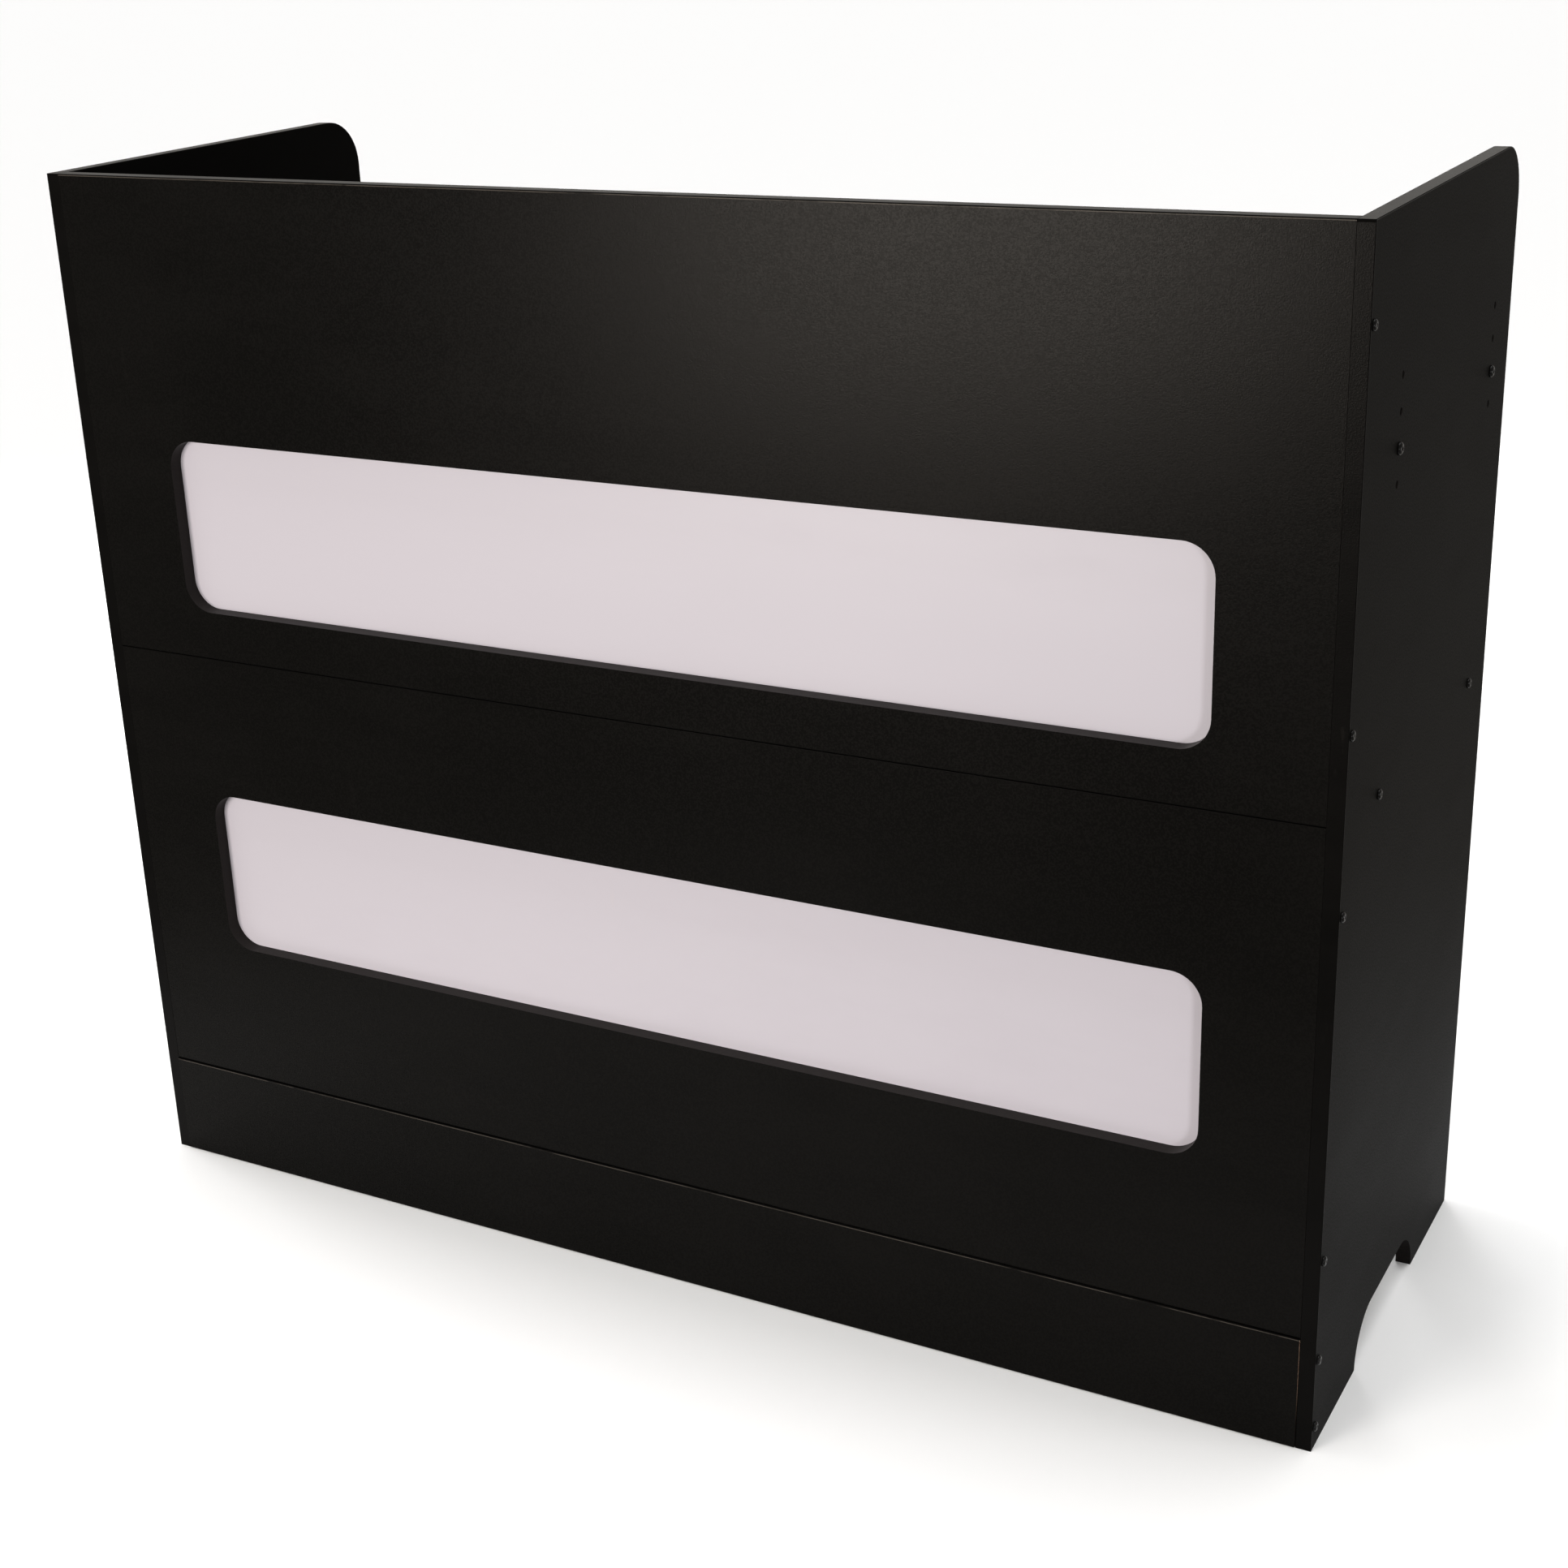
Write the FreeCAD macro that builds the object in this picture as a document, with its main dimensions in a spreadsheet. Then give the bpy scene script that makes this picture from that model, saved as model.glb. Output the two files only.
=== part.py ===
import FreeCAD, Part
import os
import Sketcher

# DJ booth: a flat-pack counter of black melamine boards with two opal windows in its front.
# Two full-height side panels carry an upper and a lower front panel, a plinth, a worktop and a
# shelf between them, and the rear is open. Millimetres, +X to the right seen from the front,
# +Y to the rear, +Z up, with the origin on the floor under the middle of the side panels.

SIZES = (
    ("overall_width", 1330, "across the outer faces of the side panels"),
    ("overall_height", 1100, "floor to the top of the side and front panels"),
    ("side_depth", 485, "front edge to rear edge of a side panel"),
    ("board", 15, "thickness of every melamine board"),
    ("edging", 1, "thickness of the plastic edge bands"),
    ("edging_round", 0.7, "radius scraped on the outer corners of an edge band"),
    ("rear_corner_radius", 50, "upper rear corner of a side panel"),
    ("foot_length", 140, "each of the two feet of a side panel, front to rear"),
    ("arch_height", 50, "height and end radius of the arch between the feet"),
    ("plinth_lift", 1, "floor to the underside of the plinth"),
    ("plinth_height", 115, "plinth, with its edge band"),
    ("plinth_proud", 1.5, "face of the plinth in front of the front panels"),
    ("panel_seam", 0.5, "open joint between front boards"),
    ("window_margin", 100, "end of a front panel to its window"),
    ("window_height", 180, "clear height of each window"),
    ("window_radius", 30, "corner radius of each window"),
    ("upper_sill", 50.5, "lower edge of the upper front panel to its window"),
    ("lower_sill", 157.5, "lower edge of the lower front panel to its window"),
    ("pane_thickness", 4, "opal sheet on the back of a front panel"),
    ("pane_lap", 12, "overlap of the opal sheet round its window"),
    ("pane_play", 0.3, "clearance between the opal sheet's edge and a clip"),
    ("worktop_drop", 190, "top of the side panels to the upper face of the worktop"),
    ("shelf_drop", 300, "upper face of the worktop to the upper face of the shelf"),
    ("cable_gap", 25, "back of the front panels to the worktop and the shelf"),
    ("column_inset", 65, "worktop and shelf fixings from the edges of their board"),
    ("height_pitch", 30, "step between the worktop's height positions"),
    ("height_positions", 4, "bolt holes in each column"),
    ("worktop_position", 2, "hole that the worktop is bolted to, counted from below"),
    ("panel_screw_inset", 80, "front panel screws from the edges of their panel"),
    ("plinth_screw_inset", 22, "plinth screws from the edges of the plinth"),
    ("screw_diameter", 5, "shank of a panel screw"),
    ("screw_length", 50, "panel screw under its head"),
    ("screw_point", 5, "pointed end of a panel screw"),
    ("screw_head_diameter", 9.5, "button head of a panel screw"),
    ("screw_head_height", 2.75, "button head of a panel screw"),
    ("screw_dome", 6, "radius of the dome of a panel screw's head"),
    ("screw_socket", 3, "hexagon socket of a panel screw, across flats"),
    ("bolt_diameter", 6, "shank of a worktop bolt"),
    ("bolt_length", 60, "worktop bolt under its head"),
    ("bolt_point", 5, "pilot point that leads a worktop bolt into its nut"),
    ("bolt_head_diameter", 11, "button head of a worktop bolt"),
    ("bolt_head_height", 3.3, "button head of a worktop bolt"),
    ("bolt_dome", 7, "radius of the dome of a worktop bolt's head"),
    ("bolt_socket", 4, "hexagon socket of a worktop bolt, across flats"),
    ("socket_rim", 0.5, "flat of a head round its socket"),
    ("socket_depth", 1.6, "depth of the sockets in the heads"),
    ("thread_play", 0.1, "diameter of a threaded bore over its screw"),
    ("hole_play", 1, "diameter of a through hole over its screw"),
    ("bore_spare", 1.5, "depth of a bore past the end of its screw"),
    ("nut_diameter", 10, "barrel nut"),
    ("nut_length", 10, "barrel nut"),
    ("nut_inset", 32, "axis of a barrel nut from the end of the worktop"),
    ("nut_play", 0.2, "diameter and depth of a nut's bore over the nut"),
    ("nut_slot", 1.4, "width and depth of the driver slot in a barrel nut"),
    ("clip_length", 26, "stepped window clip, square to the window's edge"),
    ("clip_width", 14, "window clip, along the window's edge"),
    ("clip_thickness", 2, "foot, step and tongue of a window clip"),
    ("clip_lap", 8, "overlap of a clip on the opal sheet"),
    ("clip_inset", 130, "end of a window to its first clip"),
    ("clip_count", 2, "clips along each long edge of a window"),
    ("clip_screw_diameter", 3.5, "shank of a clip screw"),
    ("clip_screw_length", 12, "clip screw under its head"),
    ("clip_screw_point", 3, "pointed end of a clip screw"),
    ("clip_screw_head_diameter", 7, "pan head of a clip screw"),
    ("clip_screw_head_height", 2.2, "pan head of a clip screw"),
    ("clip_screw_dome", 4, "radius of the dome of a clip screw's head"),
    ("clip_screw_crown", 3, "flat on top of a clip screw's head"),
)

doc = FreeCAD.newDocument("DJBooth")
sheet = doc.addObject("Spreadsheet::Sheet", "Sizes")
for line, (alias, number, meaning) in enumerate(SIZES, start=1):
    sheet.set(f"A{line}", alias)
    sheet.set(f"B{line}", str(number))
    sheet.set(f"C{line}", meaning)
    sheet.setAlias(f"B{line}", alias)
doc.recompute()

# Places across the width and the depth, as expressions over the sheet
HALF_WIDTH = "(Sizes.overall_width / 2)"
INNER = f"({HALF_WIDTH} - Sizes.board)"
FRONT = "(-Sizes.side_depth / 2)"
REAR = "(Sizes.side_depth / 2)"
FRONT_CORE = f"({FRONT} + Sizes.edging)"
REAR_CORE = f"({REAR} - Sizes.edging)"
BACK_OF_FRONT = f"({FRONT} + Sizes.board)"
SCREW_LINE = f"({FRONT} + Sizes.board / 2)"
DECK_FRONT = f"({BACK_OF_FRONT} + Sizes.cable_gap)"
FRONT_COLUMN = f"({DECK_FRONT} + Sizes.column_inset)"
REAR_COLUMN = f"({REAR} - Sizes.column_inset)"
COLUMNS = (FRONT_COLUMN, REAR_COLUMN)
COLUMN_RUN = f"({REAR_COLUMN} - {FRONT_COLUMN})"
WINDOW_END = f"({INNER} - Sizes.window_margin)"

# Heights
TOP = "Sizes.overall_height"
TOP_CORE = f"({TOP} - Sizes.edging)"
PLINTH_TOP = "(Sizes.plinth_lift + Sizes.plinth_height)"
LOWER_BASE = f"({PLINTH_TOP} + Sizes.panel_seam)"
FRONT_HEIGHT = f"(({TOP} - {PLINTH_TOP}) / 2 - Sizes.panel_seam)"
LOWER_TOP = f"({LOWER_BASE} + {FRONT_HEIGHT})"
UPPER_BASE = f"({TOP} - {FRONT_HEIGHT})"
LOWER_WINDOW = f"({LOWER_BASE} + Sizes.lower_sill + Sizes.window_height / 2)"
UPPER_WINDOW = f"({UPPER_BASE} + Sizes.upper_sill + Sizes.window_height / 2)"
WORKTOP_TOP = f"({TOP} - Sizes.worktop_drop)"
WORKTOP_MIDDLE = f"({WORKTOP_TOP} - Sizes.board / 2)"
SHELF_TOP = f"({WORKTOP_TOP} - Sizes.shelf_drop)"
SHELF_MIDDLE = f"({SHELF_TOP} - Sizes.board / 2)"
LOWEST_HOLE = f"({WORKTOP_MIDDLE} - (Sizes.worktop_position - 1) * Sizes.height_pitch)"
UPPER_SCREWS = (f"({UPPER_BASE} + Sizes.panel_screw_inset)", f"({TOP} - Sizes.panel_screw_inset)")
LOWER_SCREWS = (f"({LOWER_BASE} + Sizes.panel_screw_inset)", f"({LOWER_TOP} - Sizes.panel_screw_inset)")
PLINTH_SCREWS = (
    "(Sizes.plinth_lift + Sizes.plinth_screw_inset)",
    f"({PLINTH_TOP} - Sizes.plinth_screw_inset)",
)

# Holes, bores and the places of the window clips
SCREW_HOLE = "(Sizes.screw_diameter + Sizes.hole_play)"
SCREW_BORE = "(Sizes.screw_diameter + Sizes.thread_play)"
SCREW_BORE_DEPTH = "(Sizes.screw_length - Sizes.board + Sizes.bore_spare)"
BOLT_HOLE = "(Sizes.bolt_diameter + Sizes.hole_play)"
BOLT_BORE_DEPTH = "(Sizes.bolt_length - Sizes.board + Sizes.bore_spare)"
NUT_AXIS = f"({INNER} - Sizes.nut_inset)"
CLIP_BORE = "(Sizes.clip_screw_diameter + Sizes.thread_play)"
CLIP_BORE_DEPTH = "(Sizes.clip_screw_length - Sizes.clip_thickness + Sizes.bore_spare)"
PANE_EDGE = "(Sizes.window_height / 2 + Sizes.pane_lap)"
CLIP_REACH = f"({PANE_EDGE} - Sizes.clip_lap + Sizes.clip_length)"
CLIP_SCREW = f"({CLIP_REACH} - (Sizes.clip_length - Sizes.clip_lap) / 2)"
FIRST_CLIP = f"(Sizes.clip_inset - {WINDOW_END})"
CLIP_RUN = f"(-2 * {FIRST_CLIP})"

# Side of its own run that an arc bulges to
LEFT = 1
RIGHT = -1


def value(expression):
    """Return the number that an expression over the sheet gives."""
    return float(sheet.evalExpression(expression))


# Bodies and sketches


def new_body(label, place=("0", "0", "0")):
    """Start a piece whose own origin stands at a place given by three expressions."""
    body = doc.addObject("PartDesign::Body", label)
    body.Label = label
    for axis, expression in zip("xyz", place):
        body.setExpression(f"Placement.Base.{axis}", expression)
    return body


def origin_feature(body, role):
    """Return one of a body's own origin planes or axes."""
    return next(feature for feature in body.Origin.OriginFeatures if feature.Role == role)


def sketch_on(body, role, offset="0"):
    """Start a sketch on an origin plane, moved along the plane's normal."""
    sketch = body.newObject("Sketcher::SketchObject", f"{body.Name}_sketch")
    sketch.AttachmentSupport = [(origin_feature(body, role), "")]
    sketch.MapMode = "FlatFace"
    sketch.setExpression("AttachmentOffset.Base.z", offset)
    return sketch


def bind(sketch, expression, kind, *points):
    """Add a constraint whose size is an expression."""
    index = sketch.addConstraint(Sketcher.Constraint(kind, *points, value(expression)))
    sketch.setExpression(f"Constraints[{index}]", expression)


def fix(sketch, geometry, end, across, up):
    """Tie a point's distances from the sketch's origin to two expressions."""
    bind(sketch, across, "DistanceX", -1, 1, geometry, end)
    bind(sketch, up, "DistanceY", -1, 1, geometry, end)


def circle(sketch, across, up, diameter):
    """Draw a circle about a point."""
    centre = FreeCAD.Vector(value(across), value(up), 0)
    index = sketch.addGeometry(Part.Circle(centre, FreeCAD.Vector(0, 0, 1), value(diameter) / 2))
    bind(sketch, diameter, "Diameter", index)
    fix(sketch, index, 3, across, up)


def nearest_end(sketch, geometry, point):
    """Return which end of a line or arc lies at a point: 1 for its start, 2 for its end."""
    return min((1, 2), key=lambda end: sketch.getPoint(geometry, end).distanceToPoint(point))


def outline(sketch, corners):
    """Draw a closed outline through corners given as pairs of expressions.

    A corner with a radius and a side as well starts an arc that bulges to that side.
    """
    points = [FreeCAD.Vector(value(corner[0]), value(corner[1]), 0) for corner in corners]
    drawn = []
    for start, end, corner in zip(points, points[1:] + points[:1], corners):
        if len(corner) == 2:
            drawn.append(sketch.addGeometry(Part.LineSegment(start, end)))
            continue
        radius = value(corner[2])
        half = (end - start) / 2
        rise = radius - (radius**2 - half.Length**2) ** 0.5
        crown = start + half + FreeCAD.Vector(-half.y, half.x, 0).normalize() * (rise * corner[3])
        drawn.append(sketch.addGeometry(Part.Arc(start, crown, end)))
        bind(sketch, corner[2], "Radius", drawn[-1])
    for index, corner in enumerate(corners):
        before = drawn[index - 1]
        after = drawn[index]
        end = nearest_end(sketch, before, points[index])
        start = nearest_end(sketch, after, points[index])
        sketch.addConstraint(Sketcher.Constraint("Coincident", before, end, after, start))
        fix(sketch, after, start, corner[0], corner[1])


def rectangle(left, right, lower, upper):
    """Return the corners of a rectangle."""
    return [(left, lower), (right, lower), (right, upper), (left, upper)]


def window_outline(lap, middle="0"):
    """Return the corners of a window, widened all round by a lap, at a height."""
    side = f"({WINDOW_END} + {lap})"
    rise = f"(Sizes.window_height / 2 + {lap})"
    radius = f"(Sizes.window_radius + {lap})"
    lower = f"({middle} - {rise})"
    upper = f"({middle} + {rise})"
    return [
        (f"({radius} - {side})", lower),
        (f"({side} - {radius})", lower, radius, RIGHT),
        (side, f"({lower} + {radius})"),
        (side, f"({upper} - {radius})", radius, RIGHT),
        (f"({side} - {radius})", upper),
        (f"({radius} - {side})", upper, radius, RIGHT),
        (f"(-{side})", f"({upper} - {radius})"),
        (f"(-{side})", f"({lower} + {radius})", radius, RIGHT),
    ]


def hexagon(across_flats):
    """Return the corners of a hexagon about the sketch's origin."""
    reach = f"{across_flats} / sqrt(3)"
    return [(f"({reach} * cos({turn} deg))", f"({reach} * sin({turn} deg))") for turn in range(0, 360, 60)]


# Features


def pad(body, sketch, length, reverse=False):
    """Raise a sketch along its normal, or against it."""
    feature = body.newObject("PartDesign::Pad", f"{body.Name}_pad")
    feature.Profile = sketch
    feature.setExpression("Length", length)
    feature.Reversed = reverse
    return feature


def pocket(body, sketch, depth=None, reverse=False):
    """Cut a sketch against its normal, or along it, right through where no depth is given."""
    feature = body.newObject("PartDesign::Pocket", f"{body.Name}_pocket")
    feature.Profile = sketch
    feature.Reversed = reverse
    if depth is None:
        feature.Type = "ThroughAll"
    else:
        feature.setExpression("Length", depth)
    return feature


def place_copies(body, pattern, originals):
    """Give a pattern its features, or the whole piece where none are named, and finish with it."""
    if originals:
        pattern.Originals = originals
    else:
        pattern.TransformMode = "Whole shape"
    body.Tip = pattern
    doc.recompute()


def repeat(body, role, run, count, originals=None):
    """Repeat features, or the whole piece, along one of the body's axes."""
    doc.recompute()
    pattern = body.newObject("PartDesign::LinearPattern", f"{body.Name}_row")
    pattern.Direction = (origin_feature(body, role), [""])
    pattern.setExpression("Length", run)
    pattern.setExpression("Occurrences", count)
    place_copies(body, pattern, originals)


def mirror(body, role, originals=None):
    """Repeat features, or the whole piece, on the other side of an origin plane."""
    doc.recompute()
    pattern = body.newObject("PartDesign::Mirrored", f"{body.Name}_mirror")
    pattern.MirrorPlane = (origin_feature(body, role), [""])
    place_copies(body, pattern, originals)


def round_edges(body, feature, chosen):
    """Scrape the edges of a band that are chosen by their middle point and their run."""
    doc.recompute()
    names = []
    for index, edge in enumerate(feature.Shape.Edges, start=1):
        middle = edge.valueAt((edge.FirstParameter + edge.LastParameter) / 2)
        run = edge.Vertexes[-1].Point - edge.Vertexes[0].Point
        if chosen(middle, run):
            names.append(f"Edge{index}")
    fillet = body.newObject("PartDesign::Fillet", f"{body.Name}_round")
    fillet.Base = (feature, names)
    fillet.setExpression("Radius", "Sizes.edging_round")


def same(first, second):
    """Tell whether two lengths are equal."""
    return abs(first - second) < 1e-4


# Side panels and their edge bands


def side_panel(label, face):
    """Make the board that stands on two feet, drilled for every fixing; face is its -X face."""
    body = new_body(label, (face, "0", "0"))
    front_foot = f"({FRONT} + Sizes.foot_length)"
    rear_foot = f"({REAR} - Sizes.foot_length)"
    corner = "(Sizes.rear_corner_radius - Sizes.edging)"
    board = sketch_on(body, "YZ_Plane")
    outline(board, [
        (FRONT_CORE, "0"),
        (front_foot, "0", "Sizes.arch_height", LEFT),
        (f"({front_foot} + Sizes.arch_height)", "Sizes.arch_height"),
        (f"({rear_foot} - Sizes.arch_height)", "Sizes.arch_height", "Sizes.arch_height", LEFT),
        (rear_foot, "0"),
        (REAR_CORE, "0"),
        (REAR_CORE, f"({TOP} - Sizes.rear_corner_radius)", corner, RIGHT),
        (f"({REAR} - Sizes.rear_corner_radius)", TOP_CORE),
        (FRONT_CORE, TOP_CORE),
    ])
    pad(body, board, "Sizes.board")

    screw_holes = sketch_on(body, "YZ_Plane", "Sizes.board")
    for height in UPPER_SCREWS + LOWER_SCREWS + PLINTH_SCREWS:
        circle(screw_holes, SCREW_LINE, height, SCREW_HOLE)
    for column in COLUMNS:
        circle(screw_holes, column, SHELF_MIDDLE, SCREW_HOLE)
    pocket(body, screw_holes)

    bolt_holes = sketch_on(body, "YZ_Plane", "Sizes.board")
    for column in COLUMNS:
        circle(bolt_holes, column, LOWEST_HOLE, BOLT_HOLE)
    lowest = pocket(body, bolt_holes)
    hole_run = "Sizes.height_pitch * (Sizes.height_positions - 1)"
    repeat(body, "Z_Axis", hole_run, "Sizes.height_positions", [lowest])


def side_edging(label, face):
    """Make the one band glued round the front, top and rear edges of a side panel."""
    body = new_body(label, (face, "0", "0"))
    corner_across = f"({REAR} - Sizes.rear_corner_radius)"
    corner_up = f"({TOP} - Sizes.rear_corner_radius)"
    profile = sketch_on(body, "YZ_Plane")
    outline(profile, [
        (FRONT, "0"),
        (FRONT_CORE, "0"),
        (FRONT_CORE, TOP_CORE),
        (corner_across, TOP_CORE, "(Sizes.rear_corner_radius - Sizes.edging)", LEFT),
        (REAR_CORE, corner_up),
        (REAR_CORE, "0"),
        (REAR, "0"),
        (REAR, corner_up, "Sizes.rear_corner_radius", RIGHT),
        (corner_across, TOP),
        (FRONT, TOP),
    ])
    band = pad(body, profile, "Sizes.board")

    def outer(middle, run):
        across = middle.y - value(corner_across)
        up = middle.z - value(corner_up)
        on_corner = same((across**2 + up**2) ** 0.5, value("Sizes.rear_corner_radius"))
        on_side = same(abs(middle.y), value(REAR)) or same(middle.z, value(TOP))
        return same(run.x, 0) and (on_corner or on_side)

    round_edges(body, band, outer)


# Front boards


def end_bores(body, points, diameter, depth):
    """Bore both ends of a board that stands between the side panels."""
    bores = sketch_on(body, "YZ_Plane", INNER)
    for across, up in points:
        circle(bores, across, up, diameter)
    mirror(body, "YZ_Plane", [pocket(body, bores, depth)])


def upright_board(label, face, base, top):
    """Start a front board; face is the place of its front and base and top its bare edges."""
    body = new_body(label)
    board = sketch_on(body, "XZ_Plane", f"-{face}")
    outline(board, rectangle(f"(-{INNER})", INNER, base, top))
    pad(body, board, "Sizes.board", reverse=True)
    return body


def front_panel(label, base, top, window, screws):
    """Make a front panel with a rounded window, bored behind for the clips of its opal sheet."""
    body = upright_board(label, FRONT, f"({base} + Sizes.edging)", f"({top} - Sizes.edging)")
    opening = sketch_on(body, "XZ_Plane", f"-{FRONT}")
    outline(opening, window_outline("0", window))
    pocket(body, opening)

    clip_bores = sketch_on(body, "XZ_Plane", f"-{BACK_OF_FRONT}")
    for height in (f"({window} - {CLIP_SCREW})", f"({window} + {CLIP_SCREW})"):
        circle(clip_bores, FIRST_CLIP, height, CLIP_BORE)
    first = pocket(body, clip_bores, CLIP_BORE_DEPTH, reverse=True)
    repeat(body, "X_Axis", CLIP_RUN, "Sizes.clip_count", [first])
    end_bores(body, [(SCREW_LINE, height) for height in screws], SCREW_BORE, SCREW_BORE_DEPTH)


def plinth_panel(label):
    """Make the kick board under the front panels, its face a little in front of theirs."""
    face = f"({FRONT} - Sizes.plinth_proud)"
    body = upright_board(label, face, "Sizes.plinth_lift", f"({PLINTH_TOP} - Sizes.edging)")
    end_bores(body, [(SCREW_LINE, height) for height in PLINTH_SCREWS], SCREW_BORE, SCREW_BORE_DEPTH)


def straight_edging(label, bands, outer_axis, outer_faces):
    """Make the bands along the long edges of a board.

    Each band is a rectangle seen from the board's end. It is scraped where its place along
    outer_axis is one of outer_faces.
    """
    body = new_body(label)
    profile = sketch_on(body, "YZ_Plane", f"-{INNER}")
    for band in bands:
        outline(profile, rectangle(*band))
    strips = pad(body, profile, f"(2 * {INNER})")

    def outer(middle, run):
        along = same(run.y, 0) and same(run.z, 0)
        return along and any(same(getattr(middle, outer_axis), value(face)) for face in outer_faces)

    round_edges(body, strips, outer)


def front_edging(label, base, top):
    """Make the bands on the upper and lower edges of a front panel."""
    lower = (FRONT, BACK_OF_FRONT, base, f"({base} + Sizes.edging)")
    upper = (FRONT, BACK_OF_FRONT, f"({top} - Sizes.edging)", top)
    straight_edging(label, [lower, upper], "z", [base, top])


def plinth_edging(label):
    """Make the band on the upper edge of the plinth."""
    front = f"({FRONT} - Sizes.plinth_proud)"
    back = f"({front} + Sizes.board)"
    upper = (front, back, f"({PLINTH_TOP} - Sizes.edging)", PLINTH_TOP)
    straight_edging(label, [upper], "z", [PLINTH_TOP])


# Worktop and shelf


def deck(label, top):
    """Start a level board between the side panels, without its edge bands."""
    body = new_body(label)
    board = sketch_on(body, "XY_Plane", f"({top} - Sizes.board)")
    outline(board, rectangle(f"(-{INNER})", INNER, f"({DECK_FRONT} + Sizes.edging)", REAR_CORE))
    pad(body, board, "Sizes.board")
    return body


def worktop(label):
    """Make the worktop, bored in its ends for bolts and from below for their barrel nuts."""
    body = deck(label, WORKTOP_TOP)
    end_bores(body, [(column, WORKTOP_MIDDLE) for column in COLUMNS], BOLT_HOLE, BOLT_BORE_DEPTH)
    nut_bores = sketch_on(body, "XY_Plane", f"({WORKTOP_TOP} - Sizes.board)")
    for column in COLUMNS:
        circle(nut_bores, NUT_AXIS, column, "(Sizes.nut_diameter + Sizes.nut_play)")
    depth = "((Sizes.board + Sizes.nut_length) / 2 + Sizes.nut_play)"
    mirror(body, "YZ_Plane", [pocket(body, nut_bores, depth, reverse=True)])


def middle_shelf(label):
    """Make the shelf under the worktop, bored in its ends for screws."""
    body = deck(label, SHELF_TOP)
    end_bores(body, [(column, SHELF_MIDDLE) for column in COLUMNS], SCREW_BORE, SCREW_BORE_DEPTH)


def deck_edging(label, top):
    """Make the bands on the front and rear edges of the worktop or the shelf."""
    lower = f"({top} - Sizes.board)"
    front = (DECK_FRONT, f"({DECK_FRONT} + Sizes.edging)", lower, top)
    rear = (REAR_CORE, REAR, lower, top)
    straight_edging(label, [front, rear], "y", [DECK_FRONT, REAR])


# Opal sheets and their clips


def window_pane(label, window):
    """Make the opal sheet of a window, lying on the back of its front panel."""
    body = new_body(label, ("0", BACK_OF_FRONT, window))
    pane = sketch_on(body, "XZ_Plane")
    outline(pane, window_outline("Sizes.pane_lap"))
    pad(body, pane, "Sizes.pane_thickness", reverse=True)


def pane_clips(label, window):
    """Make the stepped clips that stand on a front panel and lap over an opal sheet's long edges."""
    body = new_body(label, ("0", BACK_OF_FRONT, window))
    tip = f"({PANE_EDGE} - Sizes.clip_lap)"
    step = f"({PANE_EDGE} + Sizes.pane_play)"
    heel = f"({step} + Sizes.clip_thickness)"
    back = "(Sizes.pane_thickness + Sizes.clip_thickness)"
    profile = sketch_on(body, "YZ_Plane", f"({FIRST_CLIP} - Sizes.clip_width / 2)")
    outline(profile, [
        ("Sizes.pane_thickness", tip),
        (back, tip),
        (back, heel),
        ("Sizes.clip_thickness", heel),
        ("Sizes.clip_thickness", CLIP_REACH),
        ("0", CLIP_REACH),
        ("0", step),
        ("Sizes.pane_thickness", step),
    ])
    clip = pad(body, profile, "Sizes.clip_width")
    hole = sketch_on(body, "XZ_Plane")
    circle(hole, FIRST_CLIP, CLIP_SCREW, CLIP_BORE)
    bore = pocket(body, hole)
    repeat(body, "X_Axis", CLIP_RUN, "Sizes.clip_count", [clip, bore])
    mirror(body, "XY_Plane")


# Fasteners


def turned_screw(body, role, kind, seat, head_flat):
    """Turn a pointed screw about the sketch's own horizontal axis, its domed head seated on it."""
    shank = f"(Sizes.{kind}_diameter / 2)"
    head = f"(Sizes.{kind}_head_diameter / 2)"
    end = f"({seat} - Sizes.{kind}_length)"
    crown = f"({seat} + Sizes.{kind}_head_height)"
    profile = sketch_on(body, role)
    outline(profile, [
        (end, "0"),
        (f"({end} + Sizes.{kind}_point)", shank),
        (seat, shank),
        (seat, head, f"Sizes.{kind}_dome", LEFT),
        (crown, head_flat),
        (crown, "0"),
    ])
    screw = body.newObject("PartDesign::Revolution", f"{body.Name}_turned")
    screw.Profile = profile
    screw.ReferenceAxis = (profile, ["H_Axis"])
    return screw


def side_fasteners(label, kind, place, role, run):
    """Make button-head screws or bolts in pairs through both side panels.

    The first of a pair stands at a place in depth and height, and the second a run further along
    the axis that role names.
    """
    body = new_body(label, ("0",) + place)
    flat = f"(Sizes.{kind}_socket / sqrt(3) + Sizes.socket_rim)"
    screw = turned_screw(body, "XY_Plane", kind, HALF_WIDTH, flat)
    doc.recompute()
    hexagonal = sketch_on(body, "YZ_Plane", f"({HALF_WIDTH} + Sizes.{kind}_head_height)")
    outline(hexagonal, hexagon(f"Sizes.{kind}_socket"))
    socket = pocket(body, hexagonal, "Sizes.socket_depth")
    repeat(body, role, run, "2", [screw, socket])
    mirror(body, "YZ_Plane")


def panel_screws(label, heights):
    """Make the screws that hold a front board, at two heights on the screw line."""
    side_fasteners(label, "screw", (SCREW_LINE, heights[0]), "Z_Axis", f"({heights[1]} - {heights[0]})")


def clip_screws(label, window):
    """Make the small screws that hold the clips of a window."""
    seat = f"({BACK_OF_FRONT} + Sizes.clip_thickness)"
    body = new_body(label, (FIRST_CLIP, seat, f"({window} - {CLIP_SCREW})"))
    screw = turned_screw(body, "YZ_Plane", "clip_screw", "0", "(Sizes.clip_screw_crown / 2)")
    repeat(body, "X_Axis", CLIP_RUN, "Sizes.clip_count", [screw])
    repeat(body, "Z_Axis", f"(2 * {CLIP_SCREW})", "2")


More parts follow.
